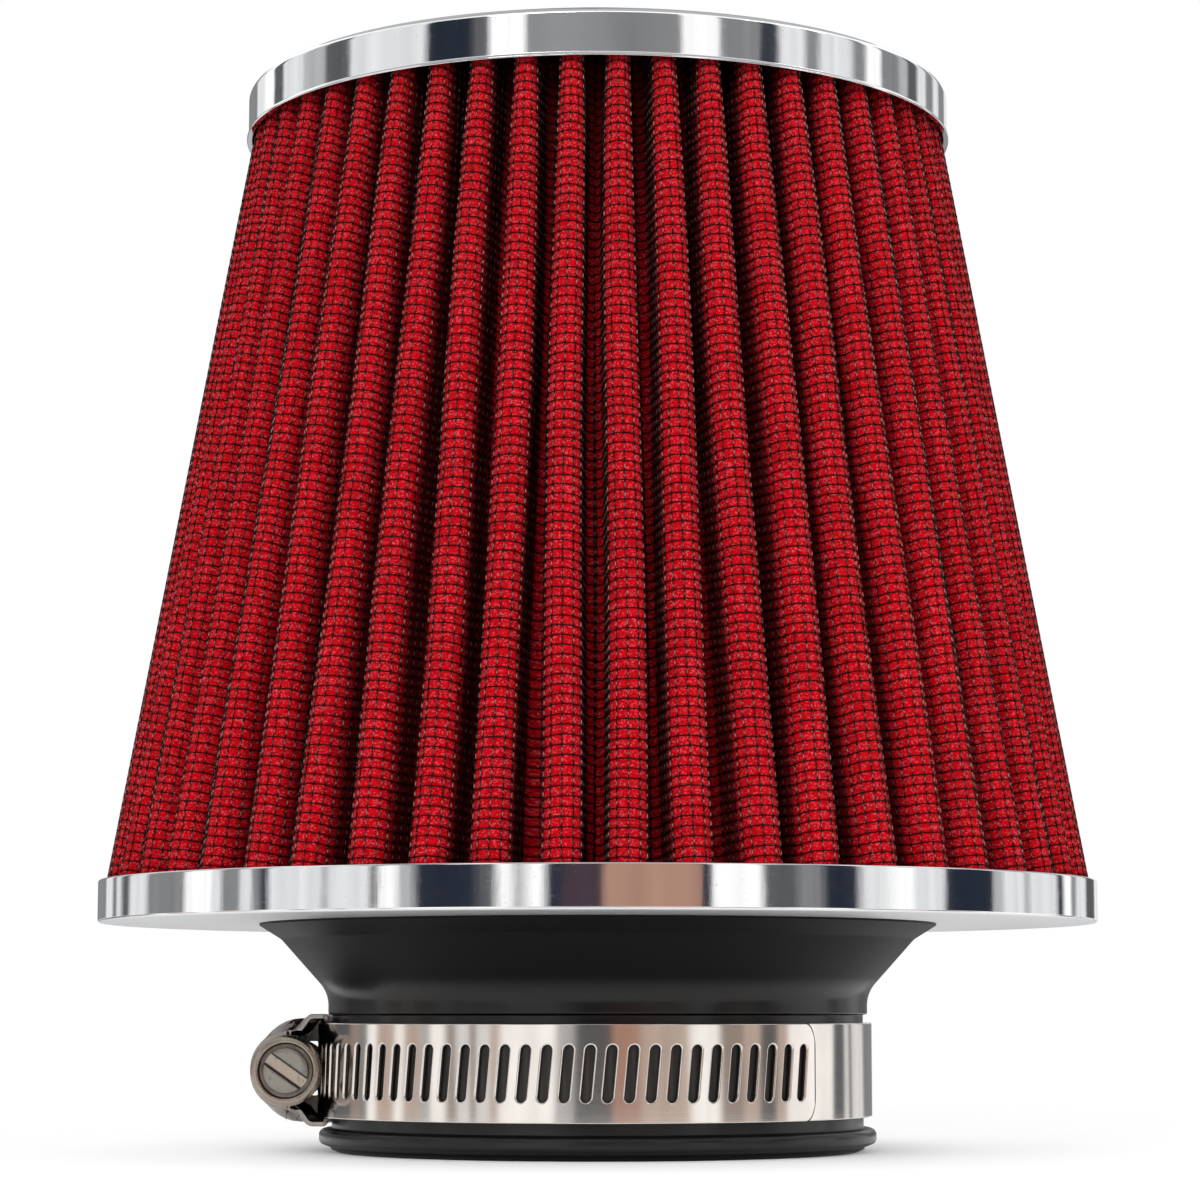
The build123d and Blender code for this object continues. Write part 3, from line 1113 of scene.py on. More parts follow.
@dataclass
class Cap:
    """The stamped lid, with a sunk panel and a lip along its lower edge."""

    radius: float = 54.0
    edge: float = 153.8
    top: float = 160.9
    panel: float = 41.06
    panel_depth: float = 1.2
    panel_slope: float = 1.8
    sheet: float = 0.6
    lip: float = 0.3
    steps: int = 240

    def profile(self) -> Array:
        """Radius and height along the lid's section, from the axis over the outside and back to the axis."""
        floor = self.top - self.panel_depth
        inner = self.radius - self.sheet
        return rounded([
            (0, floor, 0),
            (self.panel - self.panel_slope, floor, 1.0),
            (self.panel, self.top, 1.2),
            (self.radius, self.top, 0.9),
            (self.radius, self.edge + 0.5, 0.3),
            (self.radius + self.lip, self.edge + 0.22, 0.16),
            (self.radius + self.lip - 0.05, self.edge, 0.1),
            (inner, self.edge, 0.12),
            (inner, self.top - self.sheet, 0.3),
            (self.panel, self.top - self.sheet, 0.8),
            (self.panel - self.panel_slope, floor - self.sheet, 1.0),
            (0, floor - self.sheet, 0),
        ], closed=False)

    def build(self) -> None:
        """Makes the lid."""
        lid = Piece("chrome_cap", lathe(self.profile(), self.steps, closed=False))
        lid.build(Chrome("bright_plate").material(), Body.FILTER, Slot.CAP, ["top_cap"])


@dataclass
class BaseRing:
    """The shallow pan that the folds stand in, open round the neck."""

    radius: float = 75.0
    hole: float = 44.3
    bottom: float = 33.9
    edge: float = 40.1
    sheet: float = 0.6
    steps: int = 300

    def profile(self) -> Array:
        """Radius and height round the pan's section."""
        floor = self.bottom + self.sheet
        return rounded([
            (self.hole, self.bottom, 0.1),
            (self.radius, self.bottom, 0.38),
            (self.radius, self.edge, 0.28),
            (self.radius - self.sheet, self.edge, 0.2),
            (self.radius - self.sheet, floor, 0.3),
            (self.hole, floor, 0.1),
        ])

    def build(self) -> None:
        """Makes the pan."""
        pan = Piece("chrome_base_ring", lathe(self.profile(), self.steps))
        plate = Chrome("bright_plate_satin_under", self.bottom).material()
        pan.build(plate, Body.FILTER, Slot.RING, ["base_ring"])


@dataclass
class Neck:
    """The moulded inlet: foot, bead, groove for the clamp, collar and flare to the flange."""

    bore: float = 38.1
    foot: float = 40.0
    foot_top: float = 0.8
    bead: float = 41.8
    bead_top: float = 3.5
    groove: float = 39.9
    groove_top: float = 20.3
    collar: float = 40.55
    collar_top: float = 23.7
    flange: float = 51.0
    flange_under: float = 33.6
    flare_end: tuple[float, float] = (47.7, 31.55)
    spigot: float = 44.3
    top: float = 33.9
    floor: float = 34.5
    throat: tuple[float, float] = (41.5, 23.0)
    steps: int = 240

    def profile(self) -> Array:
        """Radius and height round the moulding's section."""
        return rounded([
            (self.bore, 0, 0.3),
            (self.foot - 1.0, 0, 0.4),
            (self.foot, self.foot_top - 0.35, 0.2),
            (self.foot, self.foot_top - 0.1, 0.08),
            (self.bead, self.foot_top + 0.6, 0.85),
            (self.bead, self.bead_top, 1.0),
            (self.groove, self.bead_top, 0.15),
            (self.groove, self.groove_top, 0.2),
            (self.collar, self.groove_top, 0.35),
            (self.collar, self.collar_top - 0.15, 5.0),
            (*self.flare_end, 2.0),
            (self.flange, self.flange_under, 0.08),
            (self.flange, self.top, 0.08),
            (self.spigot, self.top, 0.05),
            (self.spigot, self.floor, 0.05),
            (self.throat[0], self.floor, 0.6),
            (self.bore, self.throat[1], 2.0),
        ], steps=8)

    def build(self) -> None:
        """Makes the moulding."""
        moulding = Piece("moulded_neck", lathe(self.profile(), self.steps))
        moulding.build(MouldedRubber("satin_black_rubber").material(), Body.FILTER, Slot.RUBBER, ["neck"])


@dataclass
class ClampBand:
    """The wound clamp strip: a plain lap round the neck, then a slotted tail over its own start.

    Attributes:
        slots_from: Angle past which slots are cut.
        rims: Distances out from the slot's edge of the lines round it, from the outer face to the inner face.
        rim_lifts: How far out each line lies, as a share of half the thickness.
        rim_most: Most of the half pitch that a line may reach.
        tip: Shares of the edge at which the tail's end rounds off, and of the thickness left there.
    """

    level: float = 12.15
    width: float = 13.9
    thickness: float = 0.7
    inner_lap: float = 40.85
    outer_lap: float = 41.70
    head: float = -188.0
    climb: float = 106.0
    climb_span: float = 62.0
    tail: float = 317.6
    corner_run: float = 2.0
    corner_rise: float = 3.7
    slot_length: float = 7.9
    slot_width: float = 1.4
    slot_pitch: float = 3.05
    slot_margin: float = 2.7
    slot_lean: float = 5.5
    slots_from: float = 172.0
    edge: float = 0.2
    rims: tuple[float, ...] = (0.6, 0.42, 0.28, 0.15, 0.05, 0, 0, 0.15, 0.3)
    rim_lifts: tuple[float, ...] = (1, 1, 1, 0.88, 0.6, 0.3, -0.7, -1, -1)
    rim_most: float = 0.97
    tip: tuple[tuple[float, ...], ...] = ((0.4, 0.75, 0.95, 1, 1), (0.94, 0.75, 0.45, 0.15, 0))
    tip_steps: int = 14
    plain_steps: int = 240
    slot_steps: int = 12
    edge_steps: int = 6

    @property
    def half_round(self) -> Array:
        """Angles from the outer face round an edge to the inner face."""
        return np.linspace(0, math.pi, self.edge_steps + 1)

    @property
    def slot_turn(self) -> float:
        """Degrees from slot to slot."""
        return math.degrees(self.slot_pitch / (self.outer_lap + self.thickness / 2))

    @property
    def last_slot(self) -> float:
        """Angle of the slot nearest the tail's end."""
        return self.tail - math.degrees(self.slot_margin / (self.outer_lap + self.thickness / 2))

    @property
    def slots(self) -> int:
        """How many slots the tail has."""
        return int((self.tail - self.slots_from) / self.slot_turn)

    @property
    def slots_start(self) -> float:
        """Angle at which the slotted stretch starts."""
        return self.last_slot - (self.slots - 0.5) * self.slot_turn

    @property
    def slots_end(self) -> float:
        """Angle at which it ends."""
        return self.last_slot + self.slot_turn / 2

    @property
    def arc_share(self) -> float:
        """The outer lap's middle radius over its outer radius, at which the pitch is measured."""
        return self.outer_lap / (self.outer_lap + self.thickness / 2)

    def radius(self, angle: Array) -> Array:
        """Distance from the axis to the strip's middle: one lap, a smooth climb, then the other lap."""
        rise = smoothstep(angle, self.climb, self.climb + self.climb_span)
        return between((self.inner_lap, self.outer_lap), rise)

    def wind(self, angle: Array, height: Array, lift: Array) -> Array:
        """Points of the wound strip.

        Args:
            angle: Degrees round the axis.
            height: Millimetres up from the strip's middle.
            lift: Millimetres out from the strip's middle.

        Returns:
            The points, in metres.
        """
        radius = self.radius(angle) + lift
        turn = np.radians(angle)
        return metres(radius * np.cos(turn), radius * np.sin(turn), height + self.level)

    def plain(self) -> Surface:
        """The lap with no slots: a rounded oblong section carried along the winding."""
        half, thick = self.width / 2, self.thickness / 2
        section = rounded([
            (-thick, -half, self.edge),
            (thick, -half, self.edge),
            (thick, half, self.edge),
            (-thick, half, self.edge),
        ], steps=3)
        angle = np.linspace(self.head, self.slots_start, self.plain_steps)[:, None]
        return Surface(self.wind(angle, section[:, 1], section[:, 0]), closed_columns=True)

    def half_width(self, angle: Array) -> Array:
        """Half the strip's width, which runs in along a quarter ellipse at the tail's end."""
        left = np.radians(self.tail - angle) * self.outer_lap
        into = np.clip(1 - left / self.corner_run, 0, 1)
        return self.width / 2 - self.corner_rise * (1 - np.sqrt(1 - into**2))

    def cell(self, steps: int = 6) -> tuple[Array, Array, Array, Array]:
        """One slot's share of the strip and the slot in it, point for point, from the right side's middle.

        Args:
            steps: Steps in an eighth of the way round.

        Returns:
            Across and up from the slot's middle for the share, in half pitches and half widths, then for the
            slot: how far up its middle line each point lies, and across and up of the way its rim grows.
        """
        eighth = np.linspace(0, 1, steps + 1)[:-1]
        quarter = np.linspace(0, 1, 2 * steps + 1)[:-1]
        side, end = eighth * 0 + 1, 1 - 2 * quarter
        right = np.stack([side, eighth], -1)
        top = np.stack([end, end * 0 + 1], -1)
        left = np.stack([0 * quarter - 1, 1 - 2 * quarter], -1)
        last = np.stack([side, eighth - 1], -1)
        share = np.vstack([right, top, left, -top, last, right[:1]])
        round_end = np.stack([np.cos(quarter * math.pi), np.sin(quarter * math.pi)], -1)
        level = np.stack([side, 0 * side], -1)
        grow = np.vstack([level, round_end, [[-1, 0]] * len(left), -round_end, level, level[:1]])
        up = np.concatenate([eighth, end * 0 + 1, 1 - 2 * quarter, end * 0 - 1, eighth - 1, [0]])
        return share, up, grow[:, 0], grow[:, 1]

    def slotted(self) -> list[Surface]:
        """The slotted tail: for each slot, its share of the strip from the outline in and through it."""
        share, up, grow_across, grow_up = self.cell()
        straight = (self.slot_length - self.slot_width) / 2
        lean = math.tan(math.radians(self.slot_lean))
        thick = self.thickness / 2
        reach = self.slot_width / 2 + np.array(self.rims)
        height = straight * up[:, None] + reach * grow_up[:, None]
        across = reach * grow_across[:, None] + height * lean
        half_pitch = self.slot_pitch / 2
        across = np.clip(across, -half_pitch * self.rim_most, half_pitch * self.rim_most)
        edge = share[:, :1] * half_pitch
        across = np.hstack([edge, across, edge])
        lifts = np.array((1, *self.rim_lifts, -1)) * thick
        surfaces = []
        for index in range(self.slots):
            middle = self.last_slot - index * self.slot_turn
            angle = middle + np.degrees(across / self.outer_lap) * self.arc_share
            flat = (self.half_width(angle[:, :1]) - self.edge) * share[:, 1:]
            surfaces.append(Surface(self.wind(angle, np.hstack([flat, height, flat]), lifts)))
        return surfaces

    def edges(self) -> list[Surface]:
        """The tail's two long edges, each a half round from its outer face to its inner face."""
        count = self.slots * self.slot_steps
        angle = np.linspace(self.slots_start, self.slots_end, count + 1)[:, None]
        height = self.half_width(angle) - self.edge + self.edge * np.sin(self.half_round)
        lift = self.thickness / 2 * np.cos(self.half_round)
        return [Surface(self.wind(angle, side * height, lift)) for side in (-1, 1)]

    def tongue(self) -> Surface:
        """The tail's end past its last slot, closed by a straight end face between round corners."""
        start = self.slots_end
        side, lift = np.sin(self.half_round), np.cos(self.half_round)
        turned = np.degrees(self.edge / self.outer_lap)
        flat = start + (self.tail - turned - start) * np.sin(np.linspace(0, math.pi / 2, self.tip_steps))
        angle = np.concatenate([flat, self.tail - turned * (1 - np.array(self.tip[0]))])[:, None]
        thin = np.concatenate([np.ones(self.tip_steps), self.tip[1]])[:, None]
        rise = self.half_width(angle) - self.edge + self.edge * side
        height = np.hstack([rise, -rise[:, ::-1]])
        lifts = np.concatenate([lift, lift[::-1]]) * self.thickness / 2 * thin
        return Surface(self.wind(angle, height, lifts), closed_columns=True)

    def build(self) -> None:
        """Makes the strip."""
        strip = Piece("clamp_strip", self.plain(), *self.slotted(), *self.edges(), self.tongue())
        finish = StripSteel("polished_strip", self)
        piece = strip.build(finish.material(), Body.FILTER, Slot.CLAMP, ["clamp_band"])
        half, thick = self.width / 2 - self.edge + FACE_MARGIN, self.thickness / 2
        faces = self.inner_lap + thick, self.outer_lap + thick
        Piece.face_out(piece.data, faces, (self.level - half, self.level + half))


@dataclass
class ClampHousing:
    """The pressed saddle over the screw, with an ear turned down at each edge of the strip.

    Attributes:
        roundings: Roundings of the roof, over the ends as a share of the arch and over the dome.
        swell: How far from an end the roof starts to swell.
        feet: How far inside the screw's axis the roof turns towards the ear, at the ends and under the dome.
        bends: Roundings of the S-curve, at the ends and under the dome.
        turned_in: Sections of the far end: the share of the way in to the screw, and how far past the end.
    """

    level: float = 12.15
    screw: float = 45.70
    length: float = 19.0
    end: float = 3.4
    arch: float = 5.75
    dome_reach: float = 50.3
    dome: float = 7.65
    ear: float = 8.25
    ear_start: float = 42.9
    ear_end: float = 40.9
    lip: float = 7.05
    sheet: float = 0.75
    soft_edge: float = 0.12
    soft_angle: float = 50.0
    swell: float = 0.5
    steps: int = 8
    roundings: tuple[float, float] = (0.95, 6.2)
    feet: tuple[float, float] = (1.0, 2.1)
    bends: tuple[float, float] = (1.7, 0.7)
    turned_in: tuple[tuple[float, float], ...] = ((0.08, 0.12), (0.3, 0.2), (0.5, 0.2))

    def section(self, roof: tuple[float, float, float], foot: float, bend: float, along: float) -> Array:
        """Half of a section: over the roof, through an S-curve to the ear, and down its lip.

        Args:
            roof: The roof's distance from the filter's axis, its height above the screw and its rounding.
            foot: Distance from the axis at which the roof turns towards the ear.
            bend: Rounding of the S-curve.
            along: Distance along the screw, which sets how far the strip curves away.

        Returns:
            Distance from the filter's axis and height above the screw of each point.
        """
        ear_end = math.sqrt(self.ear_end**2 - along**2)
        return rounded([
            (roof[0], 0, 0),
            roof,
            (foot, roof[1], bend),
            (self.ear_start, self.ear, bend),
            (ear_end, self.ear, 0.9),
            (ear_end, self.lip, 0),
        ], closed=False, steps=8)

    def surface(self) -> Surface:
        """The saddle: the end section, swelling to the dome and back, mirrored about the screw."""
        tip = self.length / 2
        along = np.concatenate([
            np.linspace(-tip, self.end - tip, self.steps + 1)[:-1],
            np.linspace(self.end - tip, tip - self.end, self.steps + 1),
            np.linspace(tip - self.end, tip, self.steps + 1)[1:],
        ])
        swell = smoothstep(tip - np.abs(along), self.swell, self.end)[:, None, None]
        roofs = (
            (self.screw + self.arch, self.arch, self.arch * self.roundings[0]),
            (self.dome_reach, self.dome, self.roundings[1]),
        )
        ends, domes = (
            np.stack([self.section(roof, self.screw - foot, bend, y) for y in along])
            for roof, foot, bend in zip(roofs, self.feet, self.bends)
        )
        half = ends * (1 - swell) + domes * swell
        shares, past = np.array(self.turned_in).T
        closing = half[-1] + ((self.screw, 0) - half[-1]) * shares[:, None, None]
        half, along = np.concatenate([half, closing]), np.append(along, along[-1] + past)
        whole = np.concatenate([half[:, :0:-1] * (1, -1), half], 1)
        return Surface(metres(-whole[..., 0], along[:, None], whole[..., 1] + self.level))

    def build(self) -> None:
        """Makes the saddle and gives its sheet a thickness and soft edges."""
        saddle = Piece("clamp_saddle", self.surface())
        steel = PressedSteel("pressed_steel", (-self.screw, self.level))
        piece = saddle.build(steel.material(), Body.FILTER, Slot.CLAMP, ["clamp_housing"], weld=False)
        sheet = piece.modifiers.new("sheet", "SOLIDIFY")
        sheet.thickness = self.sheet * MM
        sheet.offset = -1
        edge = piece.modifiers.new("edge", "BEVEL")
        edge.width = self.soft_edge * MM
        edge.segments = 2
        edge.harden_normals = True
        edge.use_clamp_overlap = False
        edge.limit_method = "ANGLE"
        edge.angle_limit = math.radians(self.soft_angle)


@dataclass
class ClampScrew:
    """The worm screw: a ringed head with a slotted boss, a shank, a thread and two journals.

    Attributes:
        boss_middle: Where the middle of half a boss lies, as a share of the boss's radius.
        boss_rings: Rings of half a boss, each a share of its outline and a drop below its top.
        tooth: Corners of the worm's section, along the screw and as a share of its height.
        thread_gap: Room between the worm and the journals.
        thread_fade: Length over which the worm comes up to its height.
    """

    level: float = 12.15
    reach: float = 45.70
    end: float = 9.8
    journal: float = 4.3
    journal_length: float = 0.9
    core: float = 2.95
    crest: float = 3.6
    pitch: float = 3.0
    head_back: float = 12.3
    head_front: float = 15.3
    head: float = 5.2
    socket: float = 3.95
    socket_depth: float = 1.0
    boss: float = 3.35
    boss_drop: float = 0.2
    slot: float = 1.8
    slot_angle: float = -35.0
    boss_middle: float = 0.55
    boss_rings: tuple[tuple[float, float], ...] = ((0, 0), (0.5, 0), (0.9, 0), (0.96, 0.03), (1, 0.12))
    tooth: tuple[tuple[float, float], ...] = ((-0.85, -0.2), (-0.3, 1), (0.3, 1), (0.85, -0.2))
    thread_gap: float = 0.6
    thread_fade: float = 1.2
    thread_steps: int = 240
    steps: int = 96

    def stand(self, across: Array, up: Array, out: Array) -> Array:
        """Points about the screw's axis.

        Args:
            across: Distance from the axis to the right, seen from the front.
            up: Distance above the axis.
            out: Distance to the front.

        Returns:
            The points in the filter's frame, in metres.
        """
        return metres(across - self.reach, -out, up + self.level)

    def turned(self) -> Surface:
        """Everything turned: journals, core, shank, head and socket, carried round the screw's axis."""
        neck = self.end - self.journal_length
        profile = rounded([
            (0, -self.end, 0),
            (self.journal, -self.end, 0.3),
            (self.journal, -neck, 0.15),
            (self.core, -neck, 0.2),
            (self.core, neck, 0.2),
            (self.journal, neck, 0.15),
            (self.journal, self.head_back, 0.3),
            (self.head, self.head_back, 0.4),
            (self.head, self.head_front, 0.75),
            (self.socket + 0.1, self.head_front - 0.05, 0.3),
            (self.socket, self.head_front - self.socket_depth, 0.12),
            (0, self.head_front - self.socket_depth, 0),
        ], closed=False)
        angle = np.linspace(0, TURN, self.steps + 1)
        radius, out = profile[:, :1], profile[:, 1:]
        return Surface(self.stand(radius * np.cos(angle), radius * np.sin(angle), out))

    def bosses(self) -> list[Surface]:
        """The two halves of the boss, each a D between the driver's slot and the boss's round."""
        low = math.asin(self.slot / 2 / self.boss)
        arc = np.linspace(low, math.pi - low, 33)
        chord = np.linspace(-math.cos(low), math.cos(low), 17)[1:-1] * self.boss
        outline = np.stack([
            np.concatenate([self.boss * np.cos(arc), chord]),
            np.concatenate([self.boss * np.sin(arc), np.full(chord.shape, self.slot / 2)]),
        ], -1)
        outline = np.vstack([outline, outline[:1]])
        middle = self.boss * self.boss_middle
        top, floor = self.head_front - self.boss_drop, self.head_front - self.socket_depth
        share, drop = np.array(self.boss_rings).T
        scale = np.append(share, 1)[:, None]
        out = np.append(top - drop, floor)[:, None]
        surfaces = []
        for half in (0, math.pi):
            turn = math.radians(self.slot_angle) + half
            x, y = outline[:, 0] * scale, middle + (outline[:, 1] - middle) * scale
            across = x * math.cos(turn) - y * math.sin(turn)
            up = x * math.sin(turn) + y * math.cos(turn)
            surfaces.append(Surface(self.stand(across, up, out)))
        return surfaces

    def thread(self) -> Surface:
        """The worm: a trapezium carried along a right-hand helix, faded out at both ends."""
        reach = self.end - self.journal_length - self.thread_gap
        out = np.linspace(-reach, reach, self.thread_steps + 1)[:, None]
        angle = -out / self.pitch * TURN
        fade = smoothstep(reach - np.abs(out), 0, self.thread_fade)
        along, rise = np.array(self.tooth).T
        radius = self.core + (self.crest - self.core) * rise * fade
        points = self.stand(radius * np.cos(angle), radius * np.sin(angle), out + along)
        return Surface(points, closed_columns=True)

    def build(self) -> None:
        """Makes the screw."""
        screw = Piece("worm_screw", self.turned(), *self.bosses(), self.thread())
        place, recess = (-self.reach, self.level), self.head_front - self.boss_drop
        steel = TurnedSteel("turned_steel", place, recess, self.boss, self.slot, self.slot_angle)
        screw.build(steel.material(), Body.SCREW, Slot.SCREW, ["clamp_screw"])


class Tone(Enum):
    """What a panel of the surroundings shows to a bright surface."""

    WHITE = (1.15, 1.14, 1.13)
    PALE = (0.84, 0.845, 0.85)
    MIST = (0.5, 0.5, 0.505)
    GREY = (0.25, 0.252, 0.256)
    SLATE = (0.11, 0.112, 0.118)
    NAVY = (0.02, 0.026, 0.042)
    PLUM = (0.07, 0.045, 0.06)
    BROWN = (0.47, 0.27, 0.2)
    TAN = (0.56, 0.45, 0.385)
    DUST = (0.33, 0.27, 0.235)


@dataclass(frozen=True)
class Panels:
    """A ring of panels that a bright drum shows to the camera.

    The panels' tones run softly into each other, are a little streaky and lean a little to and fro.

    Attributes:
        name: The ring's name.
        drum: Radius of the drum, in millimetres.
        wall: Radius of the ring of panels, in millimetres.
        reach: Heights of the panels' lower and upper edge, in millimetres.
        plan: Each panel's tone and the angle on the drum, from the front, at which it ends, from the left.
        steps: Points across a panel.
        soft: Half the width of a soft edge: its least, its spread, its beat, and most as a share of a panel.
        streaks: How strong the streaks are and their two beats.
        lean: How far the panels lean, in radians, and its beat.
        behind: Tones of the panels behind the drum.
    """

    name: str
    drum: float
    wall: float
    reach: tuple[float, float]
    plan: tuple[tuple[Tone, float], ...]
    steps: int = 7
    soft: tuple[float, ...] = (0.2, 0.6, 1.7, 0.3)
    streaks: tuple[float, ...] = (0.13, 2.3, 0.71)
    lean: tuple[float, float] = (0.012, 0.8)
    behind: tuple[Tone, ...] = (
        Tone.GREY, Tone.MIST, Tone.GREY, Tone.SLATE, Tone.GREY, Tone.MIST, Tone.GREY,
    )

    def bearing(self, angle: Array, eye: float) -> Array:
        """Bearings from the front of the places on the wall that the drum mirrors to the camera.

        The ray from the camera is turned about the drum's normal and followed to the wall's circle.

        Args:
            angle: Angles on the drum, in degrees from the front.
            eye: The camera's distance from the axis, in millimetres.

        Returns:
            The bearings, in radians.
        """
        turn = np.radians(angle)
        normal = np.stack([np.sin(turn), -np.cos(turn)], -1)
        place = normal * self.drum
        ray = place + np.array((0, eye))
        ray = ray / np.linalg.norm(ray, axis=-1, keepdims=True)
        ray = ray - 2 * np.sum(ray * normal, -1, keepdims=True) * normal
        along = np.sum(place * ray, -1)
        length = np.sqrt(along**2 + self.wall**2 - self.drum**2) - along
        met = place + ray * length[:, None]
        return np.arctan2(met[:, 0], -met[:, 1])

    def build(self, eye: float) -> None:
        """Stands the panels up, seen by glossy rays alone.

        Args:
            eye: The camera's distance from the axis, in millimetres.
        """
        ends = np.array([end for _, end in self.plan])
        starts = np.append(-ends[-1], ends[:-1])
        least, spread, beat, most = self.soft
        soft = least + spread * np.abs(np.sin(beat * np.arange(len(ends))))
        soft = np.minimum(soft, (ends - starts) * most)[:, None]
        share = np.linspace(0, 1, self.steps)
        angle = (starts[:, None] + soft + (ends[:, None] - starts[:, None] - 2 * soft) * share).ravel()
        number = np.arange(len(angle))
        strength, *beats = self.streaks
        streak = 1 + strength * np.sin(number * beats[0]) * np.sin(number * beats[1])
        tones = np.repeat([tone.value for tone, _ in self.plan], len(share), axis=0) * streak[:, None]
        tones = np.vstack([tones, [tone.value for tone in self.behind]])
        bearing = self.bearing(angle, eye)
        back = np.linspace(bearing[-1], bearing[0] + TURN, len(self.behind) + 1)[1:]
        bearing = np.concatenate([bearing, back])
        sway = self.lean[0] * np.sin(self.lean[1] * np.arange(len(bearing)))
        bearing = bearing + sway * np.array((-1, 1))[:, None]
        height = np.array(self.reach)[:, None]
        points = metres(self.wall * np.sin(bearing), -self.wall * np.cos(bearing), height)
        mesh = Piece(self.name, Surface(points)).mesh(weld=False)
        light = mesh.color_attributes.new("light", "FLOAT_COLOR", "POINT")
        colours = np.hstack([np.vstack([tones, tones]), np.ones((2 * len(tones), 1))])
        light.data.foreach_set("color", colours.astype(np.float32).ravel())
        graph = Graph(bpy.data.materials.new(self.name))
        colour = graph.node("ShaderNodeVertexColor", layer_name="light").outputs[0]
        shine = graph.node("ShaderNodeEmission", {"Color": colour, "Strength": 1.0})
        mesh.materials.append(graph.show(shine))
        ring = added(self.name, mesh)
        ring.visible_camera = False
        ring.visible_diffuse = False
        ring.visible_shadow = False


CLAMP_PANELS = Panels("clamp_panels", 42.05, 150.0, (-4.0, 26.0), (
    (Tone.GREY, -66), (Tone.SLATE, -58), (Tone.DUST, -54.8), (Tone.GREY, -51.5), (Tone.WHITE, -48.7),
    (Tone.TAN, -43.5), (Tone.WHITE, -40.7), (Tone.TAN, -36.8), (Tone.MIST, -34), (Tone.WHITE, -30.6),
    (Tone.DUST, -28), (Tone.PALE, -25.3), (Tone.DUST, -23.6), (Tone.PALE, -21), (Tone.TAN, -19),
    (Tone.WHITE, -8.2), (Tone.MIST, -4.4), (Tone.SLATE, 2.7), (Tone.BROWN, 8), (Tone.TAN, 17.8),
    (Tone.WHITE, 24), (Tone.DUST, 29.5), (Tone.TAN, 33), (Tone.SLATE, 37.3), (Tone.TAN, 39.5),
    (Tone.WHITE, 55.7), (Tone.SLATE, 60), (Tone.PALE, 62.6), (Tone.SLATE, 63.6), (Tone.PALE, 71),
    (Tone.GREY, 82), (Tone.MIST, 84),
))
RING_PANELS = Panels("ring_panels", 75.0, 260.0, (26.0, 120.0), (
    (Tone.GREY, -72), (Tone.PALE, -68), (Tone.SLATE, -67), (Tone.PALE, -64.5), (Tone.SLATE, -62),
    (Tone.PALE, -57), (Tone.GREY, -49), (Tone.WHITE, -44.6), (Tone.PALE, -43), (Tone.GREY, -40.5),
    (Tone.PALE, -38.5), (Tone.GREY, -37.5), (Tone.NAVY, -36), (Tone.PALE, -29.2), (Tone.MIST, -28.4),
    (Tone.PALE, -23.4), (Tone.GREY, -22.8), (Tone.WHITE, -20.6), (Tone.MIST, -18.9), (Tone.NAVY, -12.4),
    (Tone.SLATE, -10.3), (Tone.WHITE, -8.4), (Tone.MIST, -7.4), (Tone.WHITE, -4.7), (Tone.NAVY, -3.6),
    (Tone.PLUM, 0.9), (Tone.BROWN, 10.5), (Tone.NAVY, 11.2), (Tone.WHITE, 16.5), (Tone.SLATE, 20.6),
    (Tone.GREY, 23.4), (Tone.NAVY, 27.7), (Tone.PALE, 31.5), (Tone.WHITE, 34.3), (Tone.PALE, 39.1),
    (Tone.NAVY, 46), (Tone.MIST, 47.8), (Tone.PALE, 51.7), (Tone.MIST, 53), (Tone.PALE, 59.4),
    (Tone.NAVY, 61.5), (Tone.WHITE, 64), (Tone.GREY, 65.5), (Tone.PALE, 70), (Tone.SLATE, 75),
    (Tone.PALE, 82),
))
CAP_PANELS = Panels("cap_panels", 54.0, 260.0, (120.0, 268.0), (
    (Tone.GREY, -72), (Tone.PALE, -67), (Tone.WHITE, -63), (Tone.SLATE, -59), (Tone.PALE, -53),
    (Tone.MIST, -47), (Tone.SLATE, -41.5), (Tone.PALE, -27), (Tone.NAVY, -19), (Tone.SLATE, -16.5),
    (Tone.WHITE, -10.5), (Tone.GREY, 12.5), (Tone.WHITE, 19), (Tone.GREY, 25), (Tone.NAVY, 28.5),
    (Tone.PALE, 33), (Tone.GREY, 36), (Tone.PALE, 43), (Tone.GREY, 46), (Tone.WHITE, 50),
    (Tone.GREY, 55), (Tone.MIST, 58), (Tone.SLATE, 61), (Tone.PALE, 65), (Tone.GREY, 68),
    (Tone.PALE, 72), (Tone.GREY, 77), (Tone.PALE, 83),
))
CEILING = (
    Panels("cornice", 54.0, 260.0, (268.0, 345.0), ((Tone.WHITE, 83),)),
    Panels("ceiling", 54.0, 260.0, (345.0, 9000.0), ((Tone.MIST, 83),)),
)


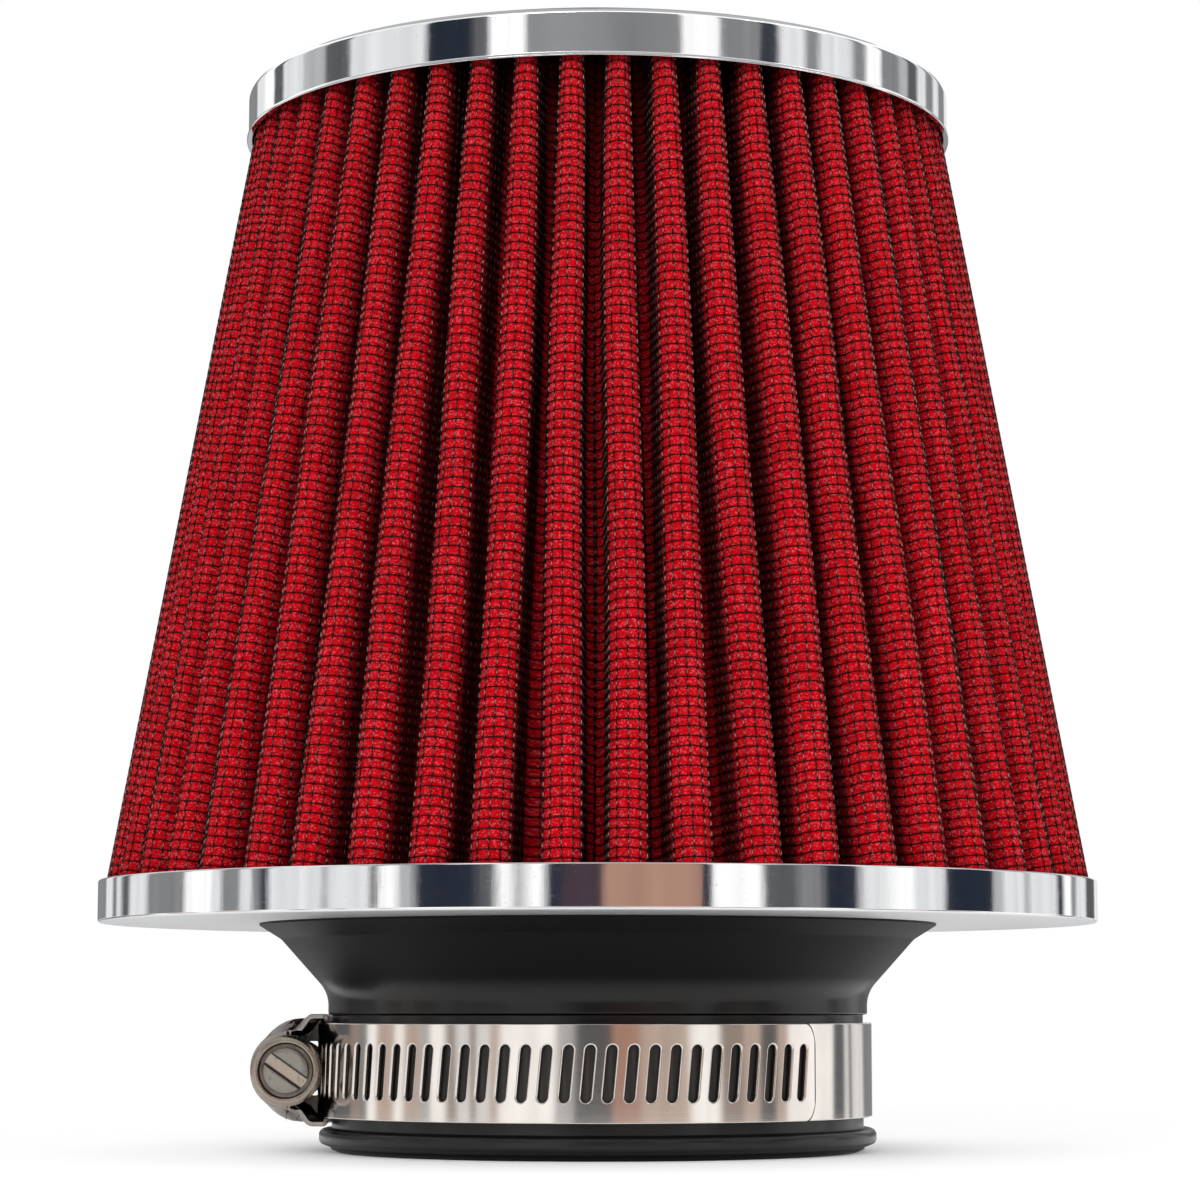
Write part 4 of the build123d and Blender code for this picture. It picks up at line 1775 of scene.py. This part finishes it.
@dataclass
class Studio:
    """Camera, floor, lamps and the surroundings that the bright plate reflects.

    Attributes:
        focal: Focal length of the camera, for a sensor 36 mm wide.
        distance: The camera's distance in front of the axis.
        height: Its height.
        pitch: Degrees that it looks up.
        aside: How far right of the axis it stands.
        floor_half: Half the floor's side, in metres.
        shadow: Distances over which the floor turns white for the camera, in metres, and how white.
        aim: The point that the lamps face, in metres.
        even: Strength of the world's light.
    """

    focal: float = 104.61
    distance: float = 530.1
    height: float = 20.5
    pitch: float = 6.76
    aside: float = 0.34
    floor_half: float = 20.0
    shadow: tuple[tuple[float, float, float], ...] = ((0.035, 0.085, 0.78), (0.1, 0.4, 0.22))
    aim: tuple[float, float, float] = (0, 0, 0.08)
    even: float = 0.55

    def camera(self) -> None:
        """Makes the camera at the photograph's place."""
        data = bpy.data.cameras.new("camera")
        data.lens = self.focal
        data.sensor_width = 36.0
        data.clip_start = 0.01
        data.clip_end = 60.0
        camera = added("camera", data)
        camera.location = (self.aside * MM, -self.distance * MM, self.height * MM)
        camera.rotation_euler = (math.radians(90 + self.pitch), 0, 0)
        bpy.context.scene.camera = camera

    def floor(self) -> None:
        """Lays a wide pale floor, which keeps the filter's shadow and is white further off."""
        side = np.array((-self.floor_half, self.floor_half))
        corners = np.stack(np.broadcast_arrays(side, side[:, None], 0.0), -1)
        mesh = Piece("floor", Surface(corners)).mesh(weld=False)
        graph = Graph(bpy.data.materials.new("pale_floor"))
        x, y, _ = graph.axes()
        colour = graph.mix(graph.noise(3.0, 2), (0.84, 0.84, 0.84), (0.86, 0.86, 0.86))
        matt = graph.node("ShaderNodeBsdfDiffuse", {"Color": colour})
        white = graph.node("ShaderNodeEmission", {"Color": (1, 1, 1, 1), "Strength": 1.0})
        away = (x * x * 1.7 + y * y) ** 0.5
        near, far = (away.step(start, end) * share for start, end, share in self.shadow)
        mesh.materials.append(graph.show(graph.blend(graph.seen() * (near + far), matt, white)))
        added("floor", mesh)

    def lamps(self) -> None:
        """Hangs soft lamps in front, at the right and above."""
        for name, place, size, power in (
            ("front", (-0.5, -1.6, 1.0), 1.1, 26.0),
            ("right", (1.5, -0.7, 0.9), 0.9, 12.0),
            ("above", (0, 0.1, 1.9), 1.4, 16.0),
        ):
            data = bpy.data.lights.new(name, "AREA")
            data.size = size
            data.energy = power
            lamp = added(name, data)
            lamp.location = place
            lamp.visible_glossy = name != "above"
            x, y, z = np.array(place) - np.array(self.aim)
            lamp.rotation_euler = (math.atan2(math.hypot(x, y), z), 0, math.atan2(x, -y))

    def world(self) -> None:
        """Sets a white world for what the camera and mirrors see and an even light for the rest."""
        graph = Graph(bpy.data.worlds.new("white_room"))
        light, white = (
            graph.node("ShaderNodeBackground", {"Color": (1, 1, 1, 1), "Strength": strength})
            for strength in (self.even, 1.0)
        )
        bpy.context.scene.world = graph.show(graph.blend(graph.seen(), light, white), "ShaderNodeOutputWorld")

    def build(self) -> None:
        """Makes the whole set."""
        self.camera()
        self.floor()
        for ring in (CLAMP_PANELS, RING_PANELS, CAP_PANELS, *CEILING):
            ring.build(self.distance)
        self.lamps()
        self.world()
        bpy.context.scene.view_settings.view_transform = "Standard"


def main() -> None:
    """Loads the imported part, dresses it and sets the stage."""
    logging.basicConfig(level=logging.INFO, format="%(name)s %(message)s")
    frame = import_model()
    for part in (Studio, PleatPack, Cap, BaseRing, Neck, ClampBand, ClampHousing, ClampScrew):
        part().build()
    sealant = CastSealant("cast_sealant").material()
    for name in ("top_sealant", "base_sealant"):
        frame["nodes"][name].data.materials.clear()
        frame["nodes"][name].data.materials.append(sealant)


if __name__ == "__main__":
    main()
